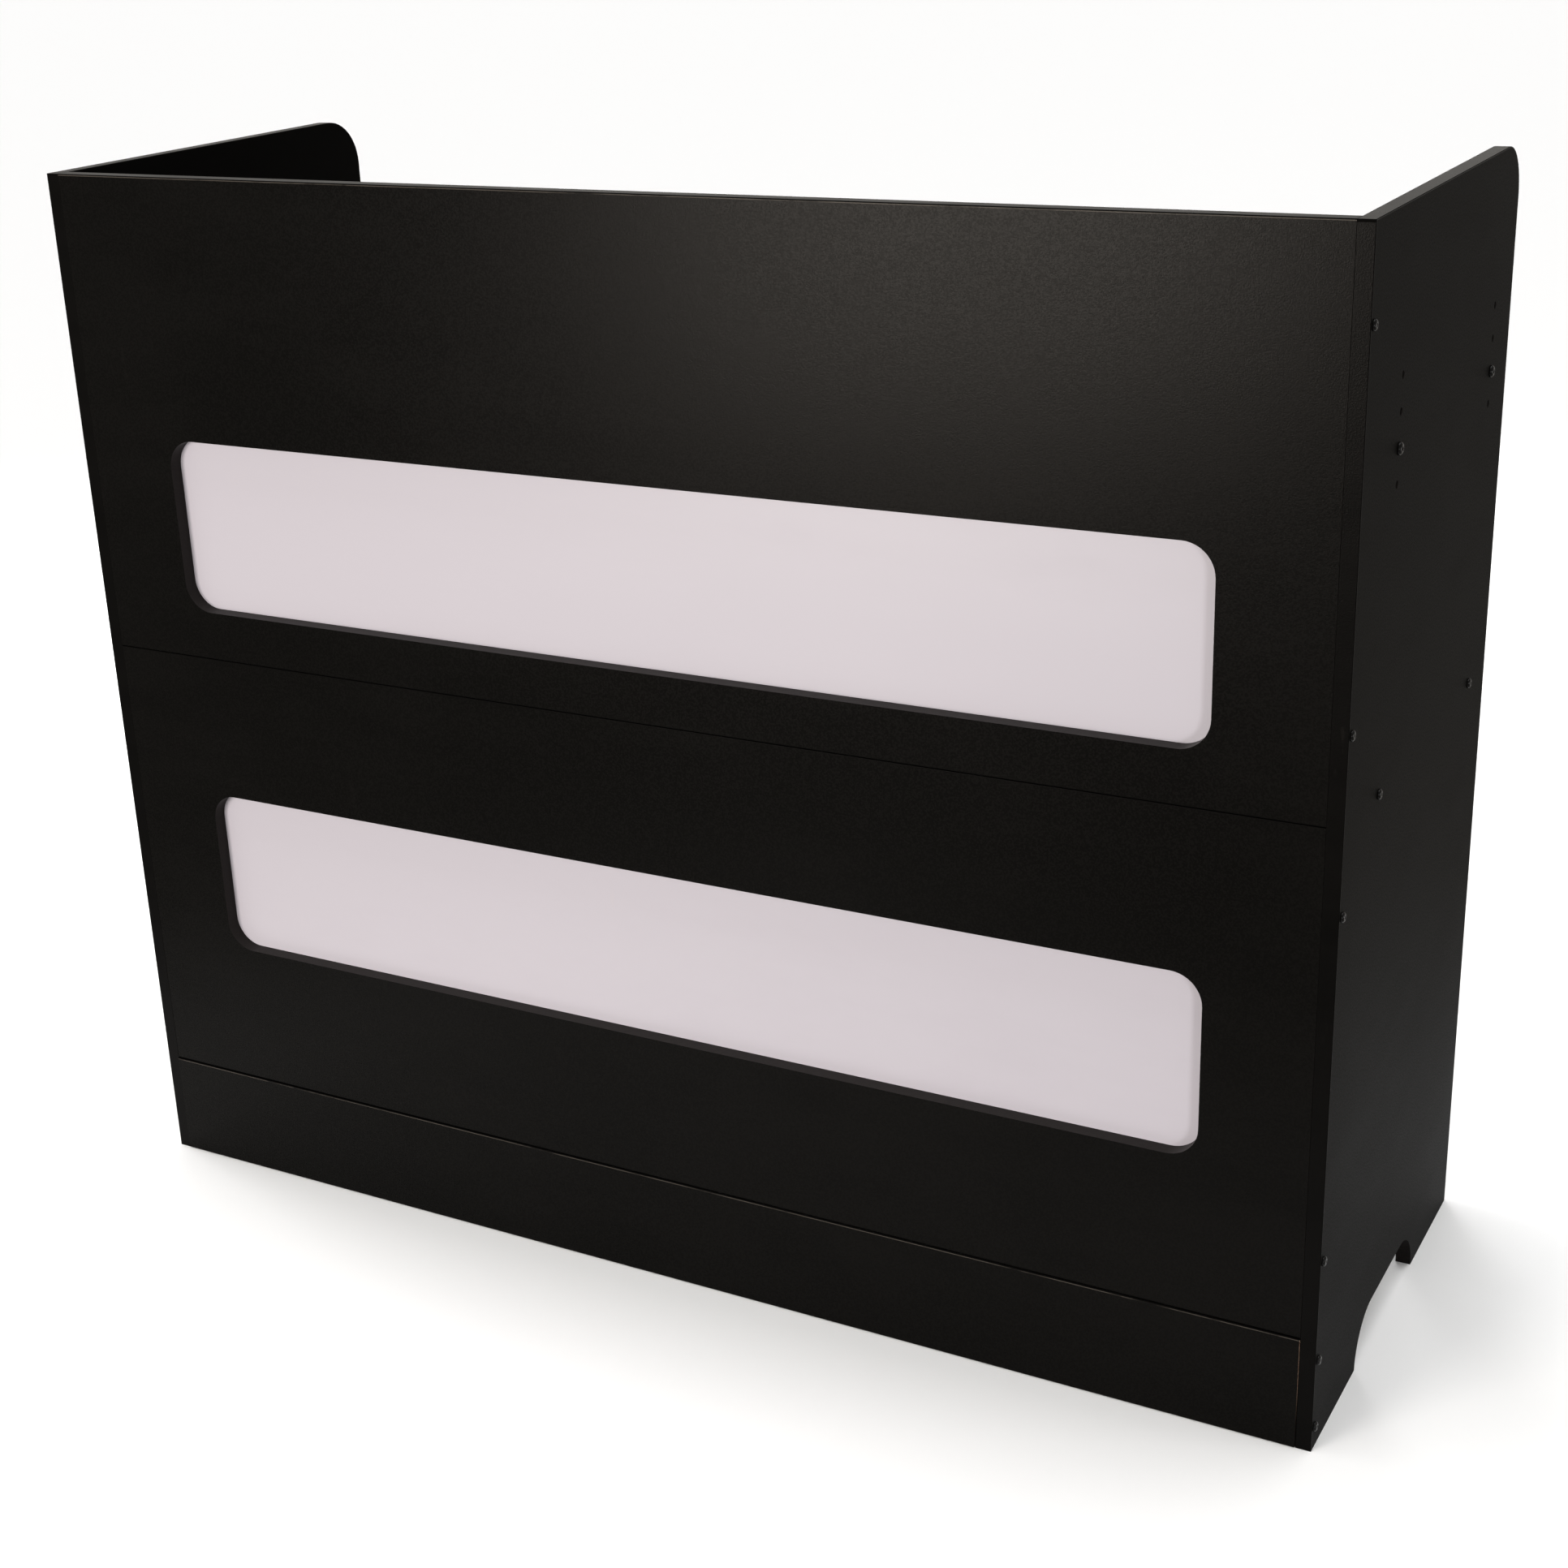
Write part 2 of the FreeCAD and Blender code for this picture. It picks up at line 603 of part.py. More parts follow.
def barrel_nuts(label):
    """Make the cross nuts that the worktop bolts screw into, slotted to turn them in line."""
    body = new_body(label, ("0", FRONT_COLUMN, f"({WORKTOP_MIDDLE} - Sizes.nut_length / 2)"))
    barrel = sketch_on(body, "XY_Plane")
    circle(barrel, NUT_AXIS, "0", "Sizes.nut_diameter")
    nut = pad(body, barrel, "Sizes.nut_length")
    thread = sketch_on(body, "YZ_Plane", HALF_WIDTH)
    circle(thread, "0", "(Sizes.nut_length / 2)", "(Sizes.bolt_diameter + Sizes.thread_play)")
    bore = pocket(body, thread)
    slot = sketch_on(body, "XY_Plane")
    half = "(Sizes.nut_slot / 2)"
    outline(slot, rectangle(f"({NUT_AXIS} - Sizes.nut_diameter)", HALF_WIDTH, f"(-{half})", half))
    groove = pocket(body, slot, "Sizes.nut_slot", reverse=True)
    repeat(body, "Y_Axis", COLUMN_RUN, "2", [nut, bore, groove])
    mirror(body, "YZ_Plane")


# The booth, piece by piece

for side, face in (("left", f"(-{HALF_WIDTH})"), ("right", INNER)):
    side_panel(f"{side}_side_panel", face)
    side_edging(f"{side}_side_edging", face)
front_panel("upper_front_panel", UPPER_BASE, TOP, UPPER_WINDOW, UPPER_SCREWS)
front_panel("lower_front_panel", LOWER_BASE, LOWER_TOP, LOWER_WINDOW, LOWER_SCREWS)
front_edging("upper_front_edging", UPPER_BASE, TOP)
front_edging("lower_front_edging", LOWER_BASE, LOWER_TOP)
plinth_panel("plinth_panel")
plinth_edging("plinth_edging")
worktop("worktop")
deck_edging("worktop_edging", WORKTOP_TOP)
middle_shelf("middle_shelf")
deck_edging("middle_shelf_edging", SHELF_TOP)
for level, window in (("upper", UPPER_WINDOW), ("lower", LOWER_WINDOW)):
    window_pane(f"{level}_window_pane", window)
    pane_clips(f"{level}_pane_clips", window)
    clip_screws(f"{level}_clip_screws", window)
panel_screws("upper_front_screws", UPPER_SCREWS)
panel_screws("lower_front_screws", LOWER_SCREWS)
panel_screws("plinth_screws", PLINTH_SCREWS)
side_fasteners("shelf_screws", "screw", (FRONT_COLUMN, SHELF_MIDDLE), "Y_Axis", COLUMN_RUN)
side_fasteners("worktop_bolts", "bolt", (FRONT_COLUMN, WORKTOP_MIDDLE), "Y_Axis", COLUMN_RUN)
barrel_nuts("worktop_barrel_nuts")
doc.recompute()

# Tests before anything is written
for item in doc.Objects:
    if "Invalid" in item.State or "Error" in item.State:
        raise RuntimeError(f"{item.Label} failed: {item.State}")
    if item.TypeId == "PartDesign::Pocket" and item.Shape.Volume > item.BaseFeature.Shape.Volume - 1e-6:
        raise RuntimeError(f"{item.Label} cuts nothing")

pieces = [item for item in doc.Objects if item.TypeId == "PartDesign::Body"]
for piece in pieces:
    if piece.Shape.isNull() or not piece.Shape.isValid():
        raise RuntimeError(f"{piece.Label} has no valid shape")

os.makedirs("parts", exist_ok=True)
for piece in pieces:
    piece.Shape.exportStep(f"parts/{piece.Label}.step")
    print(f"{piece.Label}: {len(piece.Shape.Solids)} solids, {piece.Shape.Volume / 1000:.1f} cm3")
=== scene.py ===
"""Looks of a flat-pack DJ booth: black melamine boards, opal windows and their fasteners.

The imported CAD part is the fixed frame. Boards, edge bands, opal sheets and barrel nuts keep their CAD
shapes and get their finishes here. Screws, bolts and window clips are modelled again in more detail.
Everything is in metres: +X to the right seen from the front, +Y to the rear, +Z up from the floor.
"""

import logging
import math
from dataclasses import dataclass, replace
from enum import Enum
from typing import Any, Iterable, Sequence, Union

import bmesh
import bpy
from mathutils import Matrix, Vector


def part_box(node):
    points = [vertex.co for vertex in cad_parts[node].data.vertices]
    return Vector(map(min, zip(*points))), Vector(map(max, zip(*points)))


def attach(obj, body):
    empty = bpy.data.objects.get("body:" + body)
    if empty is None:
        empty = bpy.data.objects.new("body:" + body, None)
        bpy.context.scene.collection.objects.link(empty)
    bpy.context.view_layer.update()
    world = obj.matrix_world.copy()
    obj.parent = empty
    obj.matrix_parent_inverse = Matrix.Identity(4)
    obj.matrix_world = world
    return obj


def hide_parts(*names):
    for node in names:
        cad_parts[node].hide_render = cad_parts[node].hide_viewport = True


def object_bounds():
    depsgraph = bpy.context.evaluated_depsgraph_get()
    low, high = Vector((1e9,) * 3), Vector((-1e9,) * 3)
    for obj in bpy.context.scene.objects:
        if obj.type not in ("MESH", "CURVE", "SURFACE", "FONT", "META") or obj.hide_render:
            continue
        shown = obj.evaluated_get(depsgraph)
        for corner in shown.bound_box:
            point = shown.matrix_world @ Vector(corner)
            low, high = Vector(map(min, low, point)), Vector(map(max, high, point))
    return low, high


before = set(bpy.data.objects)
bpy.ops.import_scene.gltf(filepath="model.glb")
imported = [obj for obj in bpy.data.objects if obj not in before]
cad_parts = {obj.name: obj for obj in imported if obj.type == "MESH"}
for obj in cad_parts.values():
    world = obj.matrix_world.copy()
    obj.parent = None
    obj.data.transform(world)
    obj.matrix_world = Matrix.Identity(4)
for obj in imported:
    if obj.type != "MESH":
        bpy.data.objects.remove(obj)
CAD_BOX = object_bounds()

log = logging.getLogger("dj_booth")

MM = 0.001
BODY = "root"
BARE_METAL = "bare_metal"
WELD = 0.002 * MM
NEAR = 0.02 * MM
SMOOTH_BELOW = math.radians(35)
SHARP_ABOVE = math.radians(40)

Colour = tuple[float, float, float]
Point = tuple[float, float, float]
Socket = bpy.types.NodeSocket
Feed = Union[Socket, float, Sequence[float]]


class Slot(Enum):
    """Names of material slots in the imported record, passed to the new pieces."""

    BLACK_STEEL = "black_steel"
    ZINC_STEEL = "zinc_steel"
    CLIP = "clip_plastic"


class Thickness(Enum):
    """Axis that a board's thickness lies along."""

    SIDE = "X"
    FRONT = "Y"
    DECK = "Z"


class CutEdge(Enum):
    """What the milled, sawn and drilled edges of a board show."""

    SEALED = "black"
    RAW = "chipboard"


# Node trees


class Graph:
    """A shader node tree with short calls for the nodes that the finishes use."""

    def __init__(self, tree: bpy.types.NodeTree) -> None:
        """Take over an empty or emptied tree.

        Args:
            tree: Tree of a material, a world or a group.
        """
        self.tree = tree
        tree.nodes.clear()

    def add(self, kind: str, **settings: Any) -> bpy.types.Node:
        """Add a node.

        Args:
            kind: Blender's identifier of the node.
            settings: Properties of the node.

        Returns:
            The new node.
        """
        node = self.tree.nodes.new(kind)
        for name, setting in settings.items():
            setattr(node, name, setting)
        return node

    def feed(self, socket: Socket, value: Feed) -> None:
        """Link a value to an input, or set it there.

        Args:
            socket: Input to fill.
            value: Output of another node, a number, or the parts of a colour or vector.
        """
        if isinstance(value, Socket):
            self.tree.links.new(value, socket)
        elif isinstance(value, (int, float)):
            socket.default_value = value
        elif socket.type == "RGBA":
            socket.default_value = (*value[:3], 1.0)
        else:
            socket.default_value = tuple(value)

    def math(self, operation: str, first: Feed, second: Feed = 0.0, third: Feed = 0.0) -> Socket:
        """Work out one step of arithmetic.

        Args:
            operation: Blender's name of the operation.
            first: First number.
            second: Second number, where the operation has one.
            third: Third number, where the operation has one.

        Returns:
            The result.
        """
        node = self.add("ShaderNodeMath", operation=operation)
        for socket, value in zip(node.inputs, (first, second, third)):
            self.feed(socket, value)
        return node.outputs[0]

    def mix(self, factor: Feed, first: Feed, second: Feed) -> Socket:
        """Go from one colour to another.

        Args:
            factor: 0 for the first colour, 1 for the second.
            first: First colour.
            second: Second colour.

        Returns:
            The mixed colour.
        """
        node = self.add("ShaderNodeMix", data_type="RGBA")
        self.feed(node.inputs[0], factor)
        self.feed(node.inputs[6], first)
        self.feed(node.inputs[7], second)
        return node.outputs[2]

    def blend(self, factor: Feed, first: Feed, second: Feed) -> Socket:
        """Go from one number to another.

        Args:
            factor: 0 for the first number, 1 for the second.
            first: First number.
            second: Second number.

        Returns:
            The mixed number.
        """
        node = self.add("ShaderNodeMix", data_type="FLOAT")
        self.feed(node.inputs[0], factor)
        self.feed(node.inputs[2], first)
        self.feed(node.inputs[3], second)
        return node.outputs[0]

    def seen(self) -> Socket:
        """Tell what is looked at from what only gives light.

        Returns:
            1 for rays from the camera, a mirror or glass, and 0 for the rest.
        """
        path = self.add("ShaderNodeLightPath")
        mirrored = self.math("MAXIMUM", path.outputs["Is Glossy Ray"], path.outputs["Is Transmission Ray"])
        return self.math("MAXIMUM", path.outputs["Is Camera Ray"], mirrored)

    def ease(self, value: Feed, low: float, high: float) -> Socket:
        """Rise smoothly from 0 to 1 while a value goes from low to high.

        Args:
            value: Number to read.
            low: Where the rise starts.
            high: Where it ends; below low for a fall.

        Returns:
            The eased number.
        """
        node = self.add("ShaderNodeMapRange", interpolation_type="SMOOTHSTEP")
        self.feed(node.inputs["Value"], value)
        self.feed(node.inputs["From Min"], low)
        self.feed(node.inputs["From Max"], high)
        return node.outputs["Result"]

    def noise(self, place: Feed, grain: Feed, detail: float = 2.0, rough: float = 0.5) -> Socket:
        """Read a soft random pattern.

        Args:
            place: Coordinates in metres.
            grain: How many features there are to a metre.
            detail: Finer layers on top of the first.
            rough: Weight of those layers.

        Returns:
            A number around one half.
        """
        node = self.add("ShaderNodeTexNoise")
        self.feed(node.inputs["Vector"], place)
        self.feed(node.inputs["Scale"], grain)
        self.feed(node.inputs["Detail"], detail)
        self.feed(node.inputs["Roughness"], rough)
        return node.outputs["Fac"]

    def stretch(self, place: Feed, scale: Sequence[float]) -> Socket:
        """Scale coordinates by a factor along each axis.

        Args:
            place: Coordinates.
            scale: Factor for X, Y and Z.

        Returns:
            The scaled coordinates.
        """
        node = self.add("ShaderNodeMapping")
        self.feed(node.inputs["Vector"], place)
        self.feed(node.inputs["Scale"], scale)
        return node.outputs["Vector"]

    def parts(self, vector: Feed) -> tuple[Socket, ...]:
        """Take a vector apart.

        Args:
            vector: Vector to read.

        Returns:
            Its X, Y and Z.
        """
        node = self.add("ShaderNodeSeparateXYZ")
        self.feed(node.inputs[0], vector)
        return tuple(node.outputs)

    def effect(self, group: bpy.types.NodeTree, **inputs: Feed) -> bpy.types.Node:
        """Place a shared effect.

        Args:
            group: Node group of the effect.
            inputs: Values of its inputs, with underscores for spaces.

        Returns:
            The group's node.
        """
        node = self.add("ShaderNodeGroup", node_tree=group)
        for name, value in inputs.items():
            self.feed(node.inputs[name.replace("_", " ").capitalize()], value)
        return node

    def relief(self, height: Feed, depth: float) -> Socket:
        """Turn a height pattern into a surface normal.

        Args:
            height: Pattern between 0 and 1.
            depth: What a height of 1 stands for, in metres.

        Returns:
            The normal.
        """
        node = self.add("ShaderNodeBump")
        self.feed(node.inputs["Height"], height)
        self.feed(node.inputs["Distance"], depth)
        return node.outputs["Normal"]


class EffectGroup:
    """A shader node group with named inputs and outputs, built once and placed in several finishes."""

    def __init__(self, name: str, inputs: dict[str, str], outputs: dict[str, str]) -> None:
        """Make the group's sockets.

        Args:
            name: Name of the group.
            inputs: Kind of socket for each input's name.
            outputs: Kind of socket for each output's name.
        """
        self.tree = bpy.data.node_groups.new(name, "ShaderNodeTree")
        self.graph = Graph(self.tree)
        for direction, sockets in (("INPUT", inputs), ("OUTPUT", outputs)):
            for label, kind in sockets.items():
                self.tree.interface.new_socket(label, in_out=direction, socket_type=f"NodeSocket{kind}")
        self.source = self.graph.add("NodeGroupInput").outputs
        self.result = self.graph.add("NodeGroupOutput").inputs

    def put(self, **values: Feed) -> bpy.types.NodeTree:
        """Fill the outputs.

        Args:
            values: Value for each output, named in lower case.

        Returns:
            The finished group.
        """
        for name, value in values.items():
            self.graph.feed(self.result[name.capitalize()], value)
        return self.tree


class Effects:
    """The effects that more than one finish uses."""

    def __init__(self) -> None:
        """Build every effect once."""
        self.pearl = self.pearl_grain()
        self.handling = self.handling_marks()
        self.chipboard = self.chipboard_core()
        self.drawn = self.drawn_lines()

    @staticmethod
    def pearl_grain() -> bpy.types.NodeTree:
        """Make the pearl pattern pressed into melamine and moulded plastic.

        Returns:
            The group: height of small soft bumps, and a speckle that follows them.
        """
        group = EffectGroup("pearl_grain", {"Place": "Vector", "Bumps": "Float"},
                            {"Height": "Float", "Speckle": "Float"})
        graph = group.graph
        place = group.source["Place"]
        bumps = group.source["Bumps"]
        fine = graph.noise(place, bumps, detail=1.0)
        coarse = graph.noise(place, graph.math("MULTIPLY", bumps, 0.42), detail=1.0)
        height = graph.ease(graph.blend(0.38, fine, coarse), 0.3, 0.7)
        speckle = graph.ease(coarse, 0.35, 0.68)
        return group.put(height=height, speckle=speckle)

    @staticmethod
    def handling_marks() -> bpy.types.NodeTree:
        """Make the marks that packing and carrying leave.

        Returns:
            The group: cloudy wipe marks and thin scuffs.
        """
        group = EffectGroup("handling_marks", {"Place": "Vector"}, {"Cloud": "Float", "Scuff": "Float"})
        graph = group.graph
        place = group.source["Place"]
        broad = graph.noise(place, 2.6, detail=3.0, rough=0.55)
        wipes = graph.noise(graph.stretch(place, (1.0, 1.0, 3.4)), 7.0, detail=4.0, rough=0.6)
        cloud = graph.ease(graph.blend(0.4, broad, wipes), 0.42, 0.66)
        streaks = graph.noise(graph.stretch(place, (2.0, 2.0, 0.5)), 55.0, detail=2.0)
        patches = graph.ease(graph.noise(place, 5.0, detail=1.0), 0.6, 0.74)
        scuff = graph.math("MULTIPLY", graph.ease(streaks, 0.66, 0.74), patches)
        return group.put(cloud=cloud, scuff=scuff)

    @staticmethod
    def chipboard_core() -> bpy.types.NodeTree:
        """Make the cut core of a board.

        Returns:
            The group: colour and height of pressed chips with small voids between them.
        """
        group = EffectGroup("chipboard_core", {"Place": "Vector"}, {"Colour": "Color", "Height": "Float"})
        graph = group.graph
        place = group.source["Place"]
        chips = graph.add("ShaderNodeTexVoronoi", feature="F1")
        graph.feed(chips.inputs["Vector"], graph.stretch(place, (0.6, 0.6, 1.5)))
        graph.feed(chips.inputs["Scale"], 420.0)
        shade = graph.parts(chips.outputs["Color"])[0]
        wood = graph.mix(shade, (0.34, 0.205, 0.14), (0.55, 0.38, 0.27))
        voids = graph.ease(chips.outputs["Distance"], 0.55, 0.8)
        dust = graph.noise(place, 1600.0, detail=1.0)
        colour = graph.mix(graph.math("MULTIPLY", voids, 0.7), wood, (0.10, 0.06, 0.042))
        return group.put(colour=colour, height=graph.blend(0.3, chips.outputs["Distance"], dust))

    @staticmethod
    def drawn_lines() -> bpy.types.NodeTree:
        """Make the fine lines along X that drawn or turned surfaces carry.

        Returns:
            The group: height of the lines, between 0 and 1.
        """
        group = EffectGroup("drawn_lines", {"Place": "Vector", "Lines": "Float"}, {"Height": "Float"})
        graph = group.graph
        along = graph.stretch(group.source["Place"], (0.03, 1.0, 1.0))
        return group.put(height=graph.noise(along, group.source["Lines"], detail=3.0, rough=0.6))


# Finishes


@dataclass(frozen=True, kw_only=True)
class Finish:
    """What every finish has: a name and the constants of its shader."""

    name: str
    ior: float
    metallic: float = 0.0
    gloss_tint: Colour = (1.0, 1.0, 1.0)

    def start(self) -> tuple[bpy.types.Material, Graph, bpy.types.Node, bpy.types.Node]:
        """Make the material with its shader.

        Returns:
            The material, its node tree, the shader and the coordinates.
        """
        material = bpy.data.materials.new(self.name)
        material.use_nodes = True
        graph = Graph(material.node_tree)
        shader = graph.add("ShaderNodeBsdfPrincipled")
        output = graph.add("ShaderNodeOutputMaterial")
        graph.feed(output.inputs["Surface"], shader.outputs["BSDF"])
        graph.feed(shader.inputs["IOR"], self.ior)
        graph.feed(shader.inputs["Metallic"], self.metallic)
        graph.feed(shader.inputs["Specular Tint"], self.gloss_tint)
        return material, graph, shader, graph.add("ShaderNodeTexCoord")


@dataclass(frozen=True, kw_only=True)
class Melamine(Finish):
    """Fine-pearl black melamine on chipboard, with what its milled and sawn edges show."""

    thickness: Thickness
    cut_edge: CutEdge
    face: Colour = (0.002, 0.0019, 0.0017)
    face_light: Colour = (0.0029, 0.0027, 0.0024)
    mark: Colour = (0.0058, 0.0053, 0.0048)
    sealed: Colour = (0.0138, 0.012, 0.0114)
    sealed_light: Colour = (0.0208, 0.0183, 0.0173)
    foot_dark: Colour = (0.009, 0.007, 0.006)
    foot_dark_top: float = 85.0 * MM
    foot_dark_bottom: float = 25.0 * MM
    # Pale line along a board's top edge: a painted highlight, partly wear.
    highlight_and_wear_line: Colour = (0.068, 0.059, 0.05)
    highlight_line_top: float = 0.0
    highlight_line_width: float = 0.8 * MM
    highlight_line_breaks: float = 18.0
    cloud_share: float = 0.5
    scuff_share: float = 0.5
    mark_share: float = 0.6
    face_on: float = 0.7
    bumps: float = 1400.0
    pearl_depth: float = 0.034 * MM
    pearl_roughness: float = 0.08
    face_roughness: float = 0.23
    marked_roughness: float = 0.27
    sealed_roughness: float = 0.42
    raw_roughness: float = 0.85

    def build(self, effects: Effects) -> bpy.types.Material:
        """Make the material.

        Args:
            effects: The shared effects.

        Returns:
            The material.
        """
        material, graph, shader, coordinates = self.start()
        place = coordinates.outputs["Object"]
        axis = "XYZ".index(self.thickness.value)
        facing = graph.math("ABSOLUTE", graph.parts(coordinates.outputs["Normal"])[axis])
        on_face = graph.math("GREATER_THAN", facing, self.face_on)
        pearl = graph.effect(effects.pearl, place=place, bumps=self.bumps)
        marks = graph.effect(effects.handling, place=place)
        core = graph.effect(effects.chipboard, place=place)

        faint = graph.math("MULTIPLY", marks.outputs["Cloud"], self.cloud_share)
        marked = graph.math("ADD", faint, graph.math("MULTIPLY", marks.outputs["Scuff"], self.scuff_share))
        pressed = graph.mix(pearl.outputs["Speckle"], self.face, self.face_light)
        face = graph.mix(graph.math("MULTIPLY", marked, self.mark_share), pressed, self.mark)
        # Pale broken line along the top edge: a painted highlight, partly wear.
        if self.highlight_line_top:
            face = graph.mix(self.highlight_and_wear_mask(graph, place), face, self.highlight_and_wear_line)
        if self.cut_edge is CutEdge.SEALED:
            edge = graph.mix(core.outputs["Height"], self.sealed, self.sealed_light)
            edge_roughness = self.sealed_roughness
        else:
            # Raw edges go darker towards the floor.
            clear_of_floor = graph.ease(graph.parts(place)[2], self.foot_dark_bottom, self.foot_dark_top)
            edge = graph.mix(clear_of_floor, self.foot_dark, core.outputs["Colour"])
            edge_roughness = self.raw_roughness
        graph.feed(shader.inputs["Base Color"], graph.mix(on_face, edge, face))

        wiped = graph.blend(marked, self.face_roughness, self.marked_roughness)
        face_gloss = graph.math("MULTIPLY_ADD", pearl.outputs["Speckle"], self.pearl_roughness, wiped)
        graph.feed(shader.inputs["Roughness"], graph.blend(on_face, edge_roughness, face_gloss))

        height = graph.blend(on_face, core.outputs["Height"], pearl.outputs["Height"])
        graph.feed(shader.inputs["Normal"], graph.relief(height, self.pearl_depth))
        return material

    def highlight_and_wear_mask(self, graph: Graph, place: Socket) -> Socket:
        """Draw the thin pale line along the top of the face, where it was trimmed under its upper band:
        partly wear, partly a painted highlight.

        Args:
            graph: Tree of the material.
            place: Object coordinates.

        Returns:
            1 on the line, 0 elsewhere.
        """
        height = graph.parts(place)[2]
        line = graph.math("GREATER_THAN", height, self.highlight_line_top - self.highlight_line_width)
        broken = graph.ease(graph.noise(place, self.highlight_line_breaks, detail=5.0, rough=0.65), 0.3, 0.55)
        return graph.math("MULTIPLY", line, broken)


@dataclass(frozen=True, kw_only=True)
class EdgeBand(Finish):
    """Black plastic edge band, with painted shade along its corners, and a little smoother than the boards.
    """

    base: Colour = (0.0014, 0.0013, 0.0012)
    worn: Colour = (0.005, 0.0045, 0.004)
    # Colour of the roundings and of the top few millimetres of the front faces; on the roundings it is
    # painted shade.
    dark_edge: Colour = (0.0008, 0.0007, 0.0006)
    bumps: float = 1100.0
    relief_depth: float = 0.038 * MM
    dark_top_reach: float = 2.6 * MM
    cloud_share: float = 0.25
    facing_front: float = -0.9
    flat: float = 0.995
    rounded: float = 0.96
    dark_edge_roughness: float = 0.75
    smooth: float = 0.27
    dull: float = 0.32

    def build(self, effects: Effects) -> bpy.types.Material:
        """Make the material.

        Args:
            effects: The shared effects.

        Returns:
            The material.
        """
        material, graph, shader, coordinates = self.start()
        place = coordinates.outputs["Object"]
        marks = graph.effect(effects.handling, place=place)
        pearl = graph.effect(effects.pearl, place=place, bumps=self.bumps)
        faint = graph.math("MULTIPLY", marks.outputs["Cloud"], self.cloud_share)
        used = graph.mix(graph.math("ADD", faint, marks.outputs["Scuff"]), self.base, self.worn)
        corner = self.corners(graph, coordinates.outputs["Normal"])
        front = graph.math("LESS_THAN", graph.parts(coordinates.outputs["Normal"])[1], self.facing_front)
        top = graph.math("GREATER_THAN", graph.parts(place)[2], CAD_BOX[1].z - self.dark_top_reach)
        # Roundings darker with painted shade of the gaps between parts; front faces darker near the top.
        bare_and_edge_shade = graph.math("MAXIMUM", corner, graph.math("MULTIPLY", front, top))
        graph.feed(shader.inputs["Base Color"], graph.mix(bare_and_edge_shade, used, self.dark_edge))
        gloss = graph.blend(marks.outputs["Cloud"], self.smooth, self.dull)
        graph.feed(shader.inputs["Roughness"], graph.blend(bare_and_edge_shade, gloss, self.dark_edge_roughness))
        graph.feed(shader.inputs["Normal"], graph.relief(pearl.outputs["Height"], self.relief_depth))
        return material

    def corners(self, graph: Graph, normal: Socket) -> Socket:
        """Find the roundings, which face along none of the axes and get painted shade.

        Args:
            graph: Tree of the material.
            normal: Normal of the surface.

        Returns:
            1 on a rounding, 0 on a flat face.
        """
        sides = [graph.math("ABSOLUTE", part) for part in graph.parts(normal)]
        squarest = graph.math("MAXIMUM", graph.math("MAXIMUM", sides[0], sides[1]), sides[2])
        return graph.ease(squarest, self.flat, self.rounded)


@dataclass(frozen=True, kw_only=True)
class OpalAcrylic(Finish):
    """White opal sheet: cast acrylic with a soft gloss and a trace of dust."""

    sheet: Colour = (0.568, 0.533, 0.58)
    clouded: Colour = (0.552, 0.517, 0.564)
    dust: Colour = (0.58, 0.53, 0.55)
    clear_roughness: float = 0.3
    dusty_roughness: float = 0.42
    wave_depth: float = 0.05 * MM
    waves: float = 9.0
    specks: float = 190.0
    dust_share: float = 0.3

    def build(self, effects: Effects) -> bpy.types.Material:
        """Make the material.

        Args:
            effects: The shared effects.

        Returns:
            The material.
        """
        material, graph, shader, coordinates = self.start()
        place = coordinates.outputs["Object"]
        marks = graph.effect(effects.handling, place=place)
        specks = graph.ease(graph.noise(place, self.specks, detail=1.0), 0.78, 0.82)
        sheet = graph.mix(marks.outputs["Cloud"], self.sheet, self.clouded)
        dusted = graph.math("MULTIPLY", graph.math("ADD", specks, marks.outputs["Scuff"]), self.dust_share)
        graph.feed(shader.inputs["Base Color"], graph.mix(dusted, sheet, self.dust))
        gloss = graph.blend(marks.outputs["Cloud"], self.clear_roughness, self.dusty_roughness)
        graph.feed(shader.inputs["Roughness"], gloss)
        wave = graph.noise(place, self.waves, detail=1.0)
        graph.feed(shader.inputs["Normal"], graph.relief(wave, self.wave_depth))
        return material


@dataclass(frozen=True, kw_only=True)
class Steel(Finish):
    """Turned steel, blackened or zinc plated, and rubbed bare where a driver turns it."""

    base: Colour
    worn: Colour
    smooth: float
    dull: float
    bare_and_edge_shade: Colour = (0.36, 0.345, 0.325)
    lines: float = 5200.0
    line_depth: float = 0.004 * MM
    patches: float = 700.0

    def build(self, effects: Effects) -> bpy.types.Material:
        """Make the material.

        Args:
            effects: The shared effects.

        Returns:
            The material.
        """
        material, graph, shader, coordinates = self.start()
        place = coordinates.outputs["Object"]
        drawn = graph.effect(effects.drawn, place=place, lines=self.lines)
        patches = graph.ease(graph.noise(place, self.patches, detail=3.0), 0.4, 0.7)
        rubbed = graph.add("ShaderNodeAttribute", attribute_name=BARE_METAL).outputs["Fac"]
        coated = graph.mix(patches, self.base, self.worn)
        graph.feed(shader.inputs["Base Color"], graph.mix(rubbed, coated, self.bare_and_edge_shade))
        if self.metallic < 1.0:
            graph.feed(shader.inputs["Metallic"], graph.blend(rubbed, self.metallic, 1.0))
        graph.feed(shader.inputs["Roughness"], graph.blend(patches, self.smooth, self.dull))
        graph.feed(shader.inputs["Normal"], graph.relief(drawn.outputs["Height"], self.line_depth))
        return material


